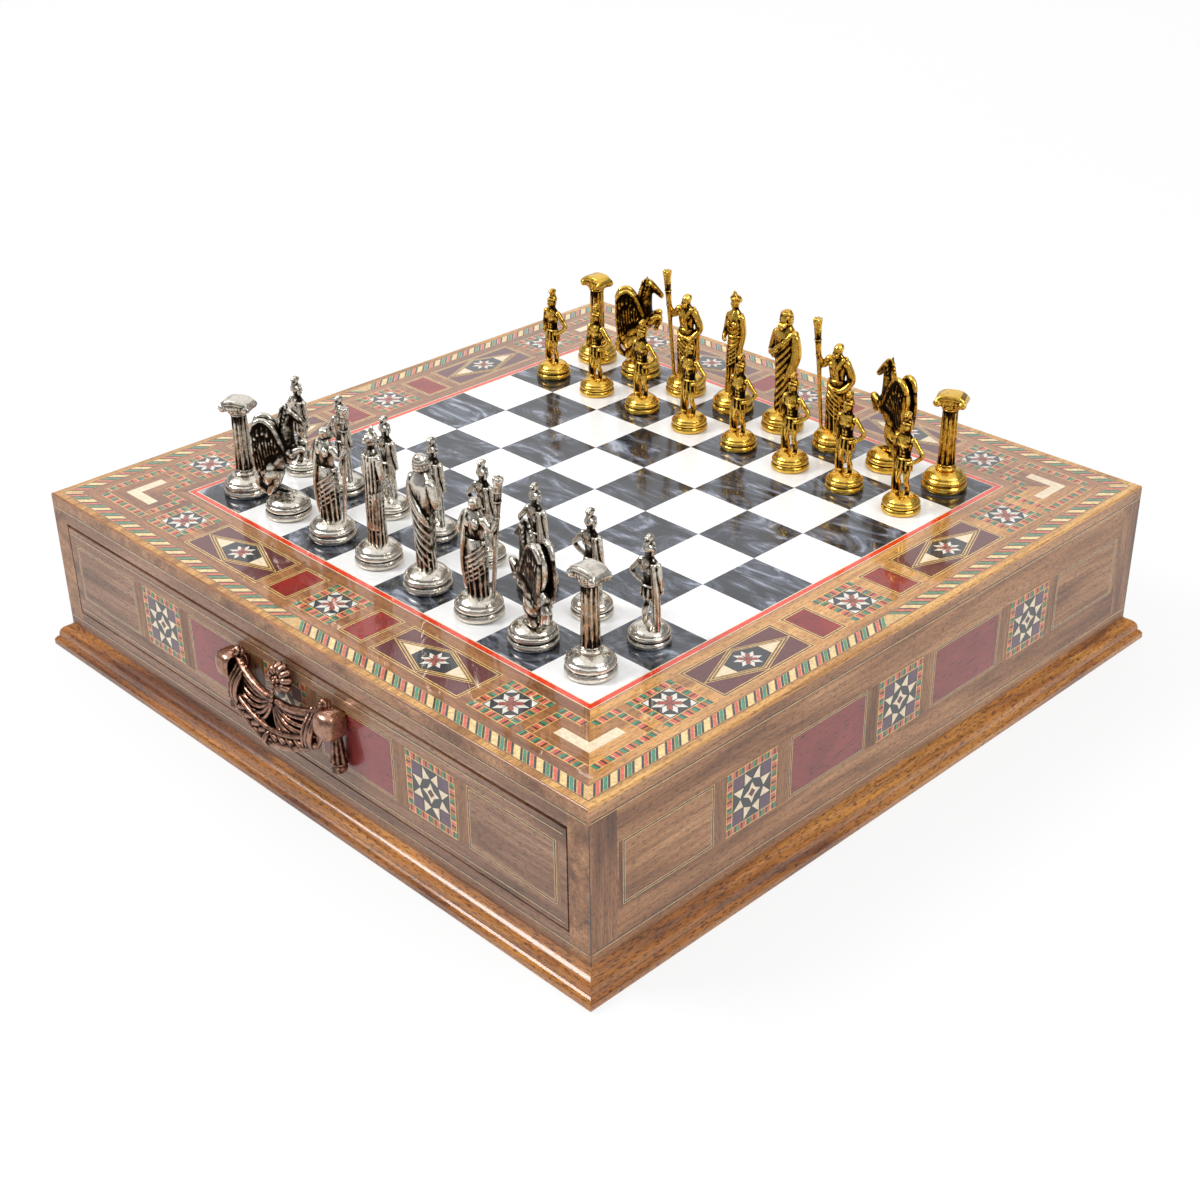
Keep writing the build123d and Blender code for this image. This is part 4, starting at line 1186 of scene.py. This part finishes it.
def knight_casting():
    """A rearing horse with wings."""
    made = Casting()
    made.tube([(0, -6.8, 21.5), (0, -5.0, 26.0), (0, -1.2, 30), (0, 2.6, 34.5)], [5.0, 5.6, 5.3, 4.9], 24)
    made.blob((0, -6.4, 23.4), (5.3, 6.0, 6.6))
    made.blob((0, 3.4, 34.0), (4.7, 4.6, 6.4))
    made.tube([(0, 2.2, 34.5), (0, 2.4, 41), (0, 3.2, 48), (0, 4.6, 53.0)], [4.7, 3.9, 3.2, 2.7], 24)
    made.tube([(0, 4.4, 53.8), (0, 7.2, 51.4), (0, 10.0, 48.6), (0, 11.2, 47.2)], [2.8, 2.3, 1.75, 1.6], 18)
    made.blob((0, 5.6, 51.0), (2.45, 2.7, 2.9))
    made.blob((0, 11.4, 47.0), (1.65, 1.35, 1.55))
    made.tube([(0, 0.2, 36), (0, -0.6, 43), (0, 0.4, 49.5), (0, 3.2, 55.4)], [1.5, 1.7, 1.7, 1.2])
    for hand in (-1, 1):
        made.tube([(hand * 1.4, 3.6, 55.6), (hand * 1.6, 3.4, 57.6)], [0.85, 0.35], 8)
        made.blob((hand * 1.85, 6.4, 52.2), 0.62)
        made.blob((hand * 1.0, 11.8, 47.4), 0.62)
        made.tube([(hand * 1.7, 4.2, 52.6), (hand * 1.8, 7.6, 49.4), (hand * 1.5, 10.2, 47.0)],
            [0.42, 0.42, 0.36], 6)
        made.blob((hand * 2.7, -5.2, 21.8), (3.6, 5.0, 6.2), (-0.35, 0.0, 0.0))
        made.tube([(hand * 3.2, -4.0, 20.0), (hand * 3.4, -5.6, 16.6), (hand * 3.3, -7.2, 13.2)],
            [3.2, 2.5, 1.9], 16)
        made.tube([(hand * 3.3, -7.2, 13.2), (hand * 3.2, -2.4, 11.8),
            (hand * 3.1, 2.4, 10.0)], [1.9, 1.5, 1.45])
        made.blob((hand * 3.1, 3.6, 9.0), (1.75, 2.3, 1.5))
        made.blob((hand * 2.9, 3.4, 34.0), (2.5, 2.6, 3.0))
        made.tube([(hand * 3.3, 4.6, 33.2), (hand * 3.5, 8.0, 35.2), (hand * 3.5, 10.6, 35.6 - hand * 0.6),
                  (hand * 3.4, 10.0, 32.6), (hand * 3.3, 8.6, 29.8)], [2.3, 1.9, 1.6, 1.35, 1.2])
        made.blob((hand * 3.3, 8.3, 29.0), (1.4, 1.5, 1.2))
        arch = [(hand * 3.5, 3.4, 30), (hand * 3.6, 0.2, 38), (hand * 3.5, -3.6, 46.5),
                (hand * 3.4, -7.4, 50.2), (hand * 3.3, -11.4, 49.2), (hand * 3.1, -13.6, 45.2)]
        made.tube(arch, [1.6, 1.6, 1.55, 1.5, 1.4, 1.1])
        edge, _ = smooth_line(arch, [1] * len(arch))
        for step in range(11):
            start = edge[5 + int(step * 19 / 10)]
            share = step / 10
            low = 33.0 - 8.4 * share
            tip_ahead = 0.6 - 13.4 * share
            middle = (hand * 3.9, (start.y + tip_ahead) / 2 - 0.5, (start.z + low) / 2)
            made.tube([tuple(start), middle, (hand * 3.7, tip_ahead, low)], [0.95, 1.0, 0.62], 8)
        for step in range(6):
            start = edge[7 + int(step * 15 / 5)]
            share = step / 5
            made.tube([tuple(start), (hand * 4.4, start.y - 0.6 + share, start.z - 6.5)], [0.9, 0.62], 8)
    made.blob((0, -6.4, 38.6), (3.7, 7.0, 11.0))
    for step in range(11):
        share = step / 10
        ahead, up = 0.4 - 1.2 * sin(share * pi) + 2.2 * share, 36.5 + 19.0 * share
        made.tube([(0, ahead + 0.4, up + 0.6), (0, ahead - 1.9, up - 0.9)], [1.1, 0.75], 8)
        for hand in (-1, 1):
            made.tube([(hand * 0.8, ahead + 0.6, up + 0.6),
                (hand * 2.4, ahead + 0.5, up - 1.8)], [0.8, 0.5], 8)
    made.tube([(0, 4.6, 55.8), (0, 6.2, 54.2)], [0.9, 0.6], 8)
    for aside, extra in ((-1.0, 0.0), (0.0, 0.6), (1.0, 0.0)):
        made.tube([(aside * 0.7, -10.4, 24.5), (aside * 1.3, -12.6 - extra, 20.2),
                  (aside * 1.3, -12.0 - extra, 15.2), (aside, -8.6, 12.2), (aside * 0.8, -6.6, 11.6)],
                  [1.1, 1.35, 1.35, 1.15, 0.8], 8)
    return made


def rook_casting():
    """A fluted column with a scrolled capital."""
    made = Casting()
    shaft = [(9.5, 4.1, 0, 0), (14, 3.95, 0, 0), (28, 3.8, 0, 0), (44, 3.55, 0, 0)]
    made.drape(shaft, 1.0, 100, 0.085, 10)
    for level, radius, tall in ((11.2, 5.6, 1.3), (13.0, 4.7, 0.8), (42.2, 4.5, 0.7), (43.6, 5.2, 0.9)):
        made.blob((0, 0, level), (radius, radius, tall))
    for step in range(14):
        turn = 2 * pi * step / 14
        made.blob((cos(turn) * 4.7, sin(turn) * 4.7, 44.6), (0.85, 0.85, 1.0))
    outline = [(-7.2, 44.6), (-4.0, 44.4), (4.0, 44.4), (7.2, 44.6), (7.8, 46.6), (7.0, 48.6), (5.0, 49.9),
        (2.6, 50.5), (-2.6, 50.5), (-5.0, 49.9), (-7.0, 48.6), (-7.8, 46.6)]
    rings = [[Vector((x * share, y, 47.4 + (z - 47.4) * share)) for x, z in outline] for y,
        share in ((-4.9, 0.9), (-4.2, 1.0), (4.2, 1.0), (4.9, 0.9))]
    made.solid(rings)
    for hand in (-1, 1):
        made.tube([(hand * 6.0, -4.2, 46.0), (hand * 6.0, 0, 46.3), (hand * 6.0, 4.2, 46.0)],
            [2.05, 1.8, 2.05], 16)
        for face in (-1, 1):
            spiral = [(hand * (6.0 + x), face * 5.0, 46.0 + z) for x, z in scroll(1.9, 0.14, 15)]
            made.tube(spiral, [0.4] * len(spiral), 6)
        made.tube([(-6.8, hand * 4.7, 47.6), (0, hand * 4.8, 48.4), (6.8, hand * 4.7, 47.6)],
            [0.55, 0.55, 0.55], 8)
        for step in range(7):
            made.blob((-4.5 + 1.5 * step, hand * 4.8, 46.2), (0.62, 0.5, 0.9))
    return made


# Radius and height of the feet
MAJOR_BASE = (11.4, 11.0)
PAWN_BASE = (9.7, 9.2)
FIGURE_VOXEL, PULL_VOXEL = 0.27, 0.30
# Shares in a hundred that are rubbed bright and that stay dark. The horses stay fully dark over more of their
# surface.
RUBBED, HORSE_RUBBED, PULL_RUBBED = (40, 4), (24, 18), (18, 5)
figure_shapes = {}
for kind, casting, foot, triangles, rubbed in (
    ("king", king_casting, MAJOR_BASE, 15000, RUBBED),
    ("queen", queen_casting, MAJOR_BASE, 15000, RUBBED),
    ("bishop", bishop_casting, MAJOR_BASE, 16000, RUBBED),
    ("knight", knight_casting, MAJOR_BASE, 19000, HORSE_RUBBED),
    ("rook", rook_casting, MAJOR_BASE, 13000, RUBBED),
    ("pawn", pawn_casting, PAWN_BASE, 13000, RUBBED),
):
    figure_shapes[kind] = joined(kind, [casting().melt(kind, FIGURE_VOXEL, triangles), base(*foot)])
    rub(figure_shapes[kind], *rubbed)

files = "abcdefgh"
back_rank = ["rook", "knight", "bishop", "queen", "king", "bishop", "knight", "rook"]
turned_aside = {"silver_rook_a": 30, "silver_knight_b": -45, "silver_knight_g": 75, "gold_rook_h": 25,
                "gold_knight_b": 135, "gold_knight_g": 255}


def stand_figure(kind, name, metal, column, rank, facing):
    """Set a figure on its square in place of its plain solid."""
    place = Vector(((column - 3.5) * square_size, (rank - 3.5) * square_size, top_level * MM))
    turn = Matrix.Rotation(radians(facing + turned_aside.get(name, 0)), 4, "Z")
    mesh = figure_shapes[kind].copy()
    mesh.transform(Matrix.Translation(place) @ turn @ Matrix.Scale(MM, 4))
    mesh.materials.append(aged_silver if metal == "silver" else aged_gold)
    mesh.shade_smooth()
    made = new_object(f"{name}_cast", mesh)
    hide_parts(name)
    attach(made, name)


for metal, rank, pawn_rank, facing in (("silver", 0, 1, 0), ("gold", 7, 6, 180)):
    for column, letter in enumerate(files):
        kind = back_rank[column]
        name = f"{metal}_{kind}" if kind in ("king", "queen") else f"{metal}_{kind}_{letter}"
        stand_figure(kind, name, metal, column, rank, facing)
        stand_figure("pawn", f"{metal}_pawn_{letter}", metal, column, pawn_rank, facing)


# Drawer pull, in millimetres from the line of its caps.
# x runs along the drawer, y up the leaning drape and z out of it.
PULL_TILT = 16.5
PULL_STAND = 5.6
PULL_SPACING = 76.0
PULL_LINE = 59.2
CAP_INSET, TASSEL_BACK = 6.0, 1.4
pull_low, pull_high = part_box("drawer_pull")
drawer_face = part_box("drawer_front")[0].y
pull_middle = (pull_low.x + pull_high.x) / 2


def pull_casting():
    """The drape of the pull: a roll over a hem, folds, leaves, cuffs and a shell."""
    made = Casting()
    roll = [(-33, 4.8, 0), (-24, 0.2, 1.0), (-12, -3.0, 1.8), (0, -3.6, 1.8), (12, -3.0, 1.8),
        (24, 0.2, 1.0), (33, 4.8, 0)]
    made.tube(roll, [2.4, 2.2, 2.0, 1.8, 2.0, 2.2, 2.4])
    reach = 31.0
    edge = [(reach * share, -23.2 + 10.6 * share * share)
        for share in (-1, -0.75, -0.5, -0.25, 0, 0.25, 0.5, 0.75, 1)]
    rim = [(x * 0.97, -16.8 + 8.8 * (x / reach) ** 2) for x, _ in edge]
    upper = [(x, y) for x, y, _ in roll]
    made.slab(edge + upper[::-1], -1.6, -0.7)
    made.slab(edge + rim[::-1], -1.4, 2.6)
    made.tube([(x, y, 2.8) for x, y in rim], [1.0, 1.15, 1.2, 1.2, 1.2, 1.2, 1.2, 1.15, 1.0])
    made.tube([(x * 0.99, y + 0.6, 1.7) for x, y in edge], [1.5, 1.7, 1.9, 2.0, 2.0, 2.0, 1.9, 1.7, 1.5])
    for hand in (-1, 1):
        # Folds fanned from below the shell out to the cuff and the rim
        for line in ([(1.0, -3.6), (12, -5.6), (23, -3.2), (30, 0.6)],
                     [(1.0, -4.4), (11, -8.2), (21, -7.4), (29, -3.6)],
                     [(1.0, -5.2), (9.5, -10.6), (19, -11.0), (27.5, -7.6)],
                     [(1.0, -6.0), (7.5, -12.6), (15, -14.4), (22, -12.6)],
                     [(0.9, -6.8), (3.6, -12.6), (7, -15.8), (9, -16.6)]):
            made.tube([(hand * across, up, out) for (across, up), out in zip(line, (2.4, 2.0, 1.5, 0.6))],
                [0.85, 1.1, 1.1, 0.85], 8)
        # Waving leaves across the hem
        for step in range(5):
            along = 4.0 + 5.6 * step
            top, low = -17.4 + 8.8 * (along / reach) ** 2, -21.6 + 10.6 * (along / reach) ** 2
            leaf = [(along - 3.8, top, 1.6), (along - 1.6, top * 0.65 + low * 0.35, 2.2),
                    (along + 1.6, top * 0.35 + low * 0.65, 2.2), (along + 4.0, low + 0.8, 1.4)]
            made.tube([(hand * across, up, out) for across, up, out in leaf], [1.0, 1.55, 1.5, 1.0], 14)
        # Cuff that gathers the drape beside the cap
        for step in range(3):
            across = hand * (24.4 + 2.3 * step)
            made.tube([(across, 2.4 + 0.8 * step, 1.2), (across + hand * 0.7, -4.6, 4.2),
                      (across + hand * 0.7, -10.6, 4.2), (across, -17.0 + 1.4 * step, 1.4)],
                      [1.0, 1.3, 1.3, 1.0], 10)
        # Gathered cloth from the cap down to the end of the hem
        for step in range(3):
            across = hand * (32.0 + 1.3 * step)
            made.tube([(across, 3.0, 0.6), (across - hand * 0.4, -4.0, 1.6 - step * 0.5),
                (hand * 31.2, -13.0, 0.6)], [1.1, 1.0, 1.2], 8)
        curl = enumerate(scroll(2.0, 0.12, 13, -90))
        spiral = [(hand * (31.4 + x), 7.4 + y, 1.4 + 0.16 * step) for step, (x, y) in curl]
        made.tube(spiral, [1.2] * len(spiral), 8)
        made.blob((hand * 31.6, 7.2, 0.2), (3.0, 2.8, 2.2))
    made.tube([(0, -19.4, 2.8), (-0.8, -22.4, 3.4), (0.4, -24.8, 2.2)], [1.3, 1.7, 1.0], 10)
    # Ribbed shell with a cluster of beads that trails down over the drape
    for step in range(8):
        turn = radians(-105 + 30 * step)
        made.tube([(sin(turn) * 2.6, 6 + cos(turn) * 2.6, 2.0), (sin(turn) * 5.0, 6 + cos(turn) * 5.0, 3.0),
            (sin(turn) * 7.0, 6 + cos(turn) * 7.0, 1.2)], [1.0, 1.5, 1.6], 10)
    made.slab([(sin(radians(t)) * 6.2, 6.0 + cos(radians(t)) * 6.2) for t in range(0, 360, 20)], -1.4, 1.0)
    for step in range(6):
        turn = radians(60 * step)
        made.blob((sin(turn) * 1.8, 5.4 + cos(turn) * 1.8, 3.4), 1.0)
    for step in range(6):
        made.blob((0, 5.4 - 2.2 * step, 4.2 - 0.1 * step), 1.1)
    return made


def tassel_casting():
    """A ribbed drop with a collar near its end, hanging down -y from the cap."""
    made = Casting()
    made.tube([(0, -4, 0), (0, -12, 0), (0.4, -18, 0)], [2.2, 2.7, 3.3], 12)
    for step in range(8):
        turn = 2 * pi * step / 8
        made.tube([(cos(turn) * 1.6, -4, sin(turn) * 1.6), (cos(turn) * 2.4, -12, sin(turn) * 2.4),
                  (0.4 + cos(turn) * 3.1, -18.4, sin(turn) * 3.1)], [0.6, 0.8, 0.9], 8)
    made.blob((0.4, -19.2, 0), (4.1, 0.9, 4.1))
    made.blob((0.5, -21.8, 0), (3.5, 3.0, 3.5))
    spiral = [(0.5 + x, -22.4 + y, 2.6) for x, y in scroll(2.3, 0.12, 12)]
    made.tube(spiral, [0.75] * len(spiral), 8)
    return made


cap_profile = [(0.1, 3.0), (4.5, 3.0), (4.8, 0.0), (5.7, -0.4), (6.3, 0.1), (6.65, 1.2), (6.8, 3.4),
    (6.75, 6.2), (6.4, 8.0), (5.7, 9.2), (4.4, 10.0), (2.5, 10.4), (0.1, 10.5)]
leaning = Matrix.Rotation(radians(90 - PULL_TILT), 4, "X")
pull_parts = [pull_casting().melt("drape", PULL_VOXEL, 46000)]
pull_parts[0].transform(leaning)
for hand in (-1, 1):
    cap = lathe(cap_profile, 48)
    for corner in cap.vertices:
        # A squarish section, as the caps look blocky
        turn = atan2(corner.co.y, corner.co.x)
        swell = (abs(cos(turn)) ** 3 + abs(sin(turn)) ** 3) ** (-1 / 3)
        corner.co.x *= swell
        corner.co.y *= swell
    cap.transform(Matrix.Translation((hand * (PULL_SPACING / 2 - CAP_INSET), 0,
        0)) @ Matrix.Rotation(hand * pi / 2, 4, "Y"))
    tassel = tassel_casting().melt("tassel", PULL_VOXEL, 9000)
    tassel.transform(Matrix.Translation((hand * PULL_SPACING / 2, TASSEL_BACK,
        0)) @ Matrix.Rotation(radians(90), 4, "X"))
    pull_parts += [cap, tassel]
pull_mesh = joined("swag_pull", pull_parts)
rub(pull_mesh, *PULL_RUBBED)
pull_mesh.transform(
    Matrix.Translation((pull_middle, drawer_face - PULL_STAND * MM, PULL_LINE * MM)) @ Matrix.Scale(MM, 4)
)
for corner in pull_mesh.vertices:
    corner.co.y = min(corner.co.y, drawer_face)
pull_mesh.materials.append(aged_copper)
pull_mesh.shade_smooth()
swag_pull = new_object("swag_pull", pull_mesh)
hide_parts("drawer_pull")
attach(swag_pull, "drawer")


# Felt lining of the drawer
FELT_STEPS = 90
FELT_EDGE = 2.0 * MM


def felt_sheet():
    """A sheet with softened edges and a slightly uneven pile."""
    low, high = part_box("drawer_felt")
    made = bmesh.new()
    bmesh.ops.create_grid(made, x_segments=FELT_STEPS, y_segments=FELT_STEPS, size=0.5)
    middle = (low + high) / 2
    size = high - low
    for corner in made.verts:
        edge = min(0.5 - abs(corner.co.x), 0.5 - abs(corner.co.y)) * size.x
        drop = max(0.0, 1.0 - edge / FELT_EDGE) ** 2
        wave = 0.5 + 0.5 * sin(corner.co.x * 31.0) * cos(corner.co.y * 27.0 + corner.co.x * 9.0)
        corner.co = Vector((middle.x + corner.co.x * size.x, middle.y + corner.co.y * size.y,
                            high.z - size.z * (0.7 * drop + 0.12 * wave * (1 - drop))))
    sheet = bmesh.ops.extrude_face_region(made, geom=made.faces[:])
    for corner in [item for item in sheet["geom"] if isinstance(item, bmesh.types.BMVert)]:
        corner.co.z = low.z
    bmesh.ops.recalc_face_normals(made, faces=made.faces)
    mesh = bpy.data.meshes.new("felt_lining")
    made.to_mesh(mesh)
    made.free()
    mesh.materials.append(red_felt)
    mesh.shade_smooth()
    lining = new_object("felt_lining", mesh)
    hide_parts("drawer_felt")
    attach(lining, "drawer")


felt_sheet()

# Floor and light: a white studio sweep, with the floor's glow for the camera and in mirrors
FLOOR_HALF = 6.0
FLOOR_GLOW, FLOOR_MIRRORED = 0.84, 0.85
floor_mesh = bpy.data.meshes.new("floor")
sweep = rectangle(-FLOOR_HALF, -FLOOR_HALF, FLOOR_HALF, FLOOR_HALF)
floor_mesh.from_pydata([(x, y, 0) for x, y in sweep], [], [(0, 1, 2, 3)])
floor = new_object("floor", floor_mesh)
paper = bpy.data.materials.new("white_paper")
paper.use_nodes = True
paper_tree = paper.node_tree
paper_tree.nodes.clear()
paper_out = paper_tree.nodes.new("ShaderNodeOutputMaterial")
matte = add_node(paper_tree, "ShaderNodeBsdfDiffuse", {"Color": (0.86, 0.86, 0.86, 1.0)})
glow = add_node(paper_tree, "ShaderNodeEmission", {"Color": (*WHITE, 1.0), "Strength": 1.0})
rays = add_node(paper_tree, "ShaderNodeLightPath")
through = maths(paper_tree, "MAXIMUM", rays.outputs["Is Camera Ray"], rays.outputs["Is Transmission Ray"])
amount = maths(paper_tree, "MULTIPLY", through, FLOOR_GLOW)
shown = add_node(paper_tree, "ShaderNodeMixShader", {0: amount, 1: matte.outputs[0], 2: glow.outputs[0]})
soft_glow = add_node(paper_tree, "ShaderNodeEmission", {"Color": (*WHITE, 1.0), "Strength": FLOOR_MIRRORED})
paper_mix = add_node(paper_tree, "ShaderNodeMixShader",
    {0: rays.outputs["Is Glossy Ray"], 1: shown.outputs[0], 2: soft_glow.outputs[0]})
paper_tree.links.new(paper_mix.outputs[0], paper_out.inputs[0])
floor_mesh.materials.append(paper)

world = bpy.data.worlds.new("studio")
scene.world = world
world.use_nodes = True
sky = world.node_tree
sky.nodes.clear()
sky_out = sky.nodes.new("ShaderNodeOutputWorld")
# Away from the camera the sky is a bright ceiling over a darker band, which gives the metal its contrast
heading = add_node(sky, "ShaderNodeTexCoord")
parts = add_node(sky, "ShaderNodeSeparateXYZ", {"Vector": heading.outputs["Generated"]})
height = add_node(sky, "ShaderNodeMapRange", {"Value": parts.outputs["Z"], "From Min": -1.0})
ceiling = ramp(sky, height.outputs[0],
    [(0.48, (0.50, 0.51, 0.53)), (0.58, (0.34, 0.35, 0.37)), (0.71, (0.20, 0.20, 0.21)),
    (0.80, (0.22, 0.22, 0.23)), (0.91, WHITE)])
dim_sky = add_node(sky, "ShaderNodeBackground", {"Color": ceiling, "Strength": 1.0})
white_sky = add_node(sky, "ShaderNodeBackground", {"Color": (*WHITE, 1.0), "Strength": 1.0})
sky_rays = add_node(sky, "ShaderNodeLightPath")
sky_mix = add_node(sky, "ShaderNodeMixShader",
    {0: sky_rays.outputs["Is Camera Ray"], 1: dim_sky.outputs[0], 2: white_sky.outputs[0]})
sky.links.new(sky_mix.outputs[0], sky_out.inputs[0])


def softbox(name, place, aim, size, power):
    """A lamp aimed at a point, with its size in metres and its power in watts."""
    lamp = bpy.data.lights.new(name, "AREA")
    lamp.shape = "RECTANGLE"
    lamp.size, lamp.size_y = size
    lamp.energy = power
    made = new_object(name, lamp)
    made.location = place
    made.rotation_euler = (Vector(aim) - Vector(place)).to_track_quat("-Z", "Y").to_euler()


softbox("key_softbox", (-1.1, -1.2, 1.7), (0.0, 0.0, 0.05), (0.9, 0.9), 34.0)
softbox("fill_softbox", (1.7, 0.2, 1.3), (0.0, 0.0, 0.05), (1.0, 1.0), 16.0)
softbox("backdrop", (-1.25, 1.22, 1.0), (0.0, 0.0, 0.09), (2.4, 1.2), 7.0)

# Camera, as fitted to the box's edges
CAMERA_AZIMUTH, CAMERA_ELEVATION, CAMERA_ROLL = radians(45.74), radians(29.30), radians(-0.69)
CAMERA_AIM = Vector((18.8, -15.7, 38.4)) * MM
CAMERA_DISTANCE = 918.9 * MM
CAMERA_LENS = 55.23
back = Vector((sin(CAMERA_AZIMUTH) * cos(CAMERA_ELEVATION), -cos(CAMERA_AZIMUTH) * cos(CAMERA_ELEVATION),
    sin(CAMERA_ELEVATION)))
right = Vector((cos(CAMERA_AZIMUTH), sin(CAMERA_AZIMUTH), 0.0))
up = back.cross(right)
turned_right = cos(CAMERA_ROLL) * right + sin(CAMERA_ROLL) * up
turned_up = -sin(CAMERA_ROLL) * right + cos(CAMERA_ROLL) * up
lens = bpy.data.cameras.new("camera")
lens.lens = CAMERA_LENS
lens.sensor_width = 36.0
camera = new_object("camera", lens)
facing = Matrix((turned_right, turned_up, back)).transposed()
camera.matrix_world = Matrix.Translation(CAMERA_AIM + back * CAMERA_DISTANCE) @ facing.to_4x4()
scene.camera = camera
scene.view_settings.view_transform = "Standard"
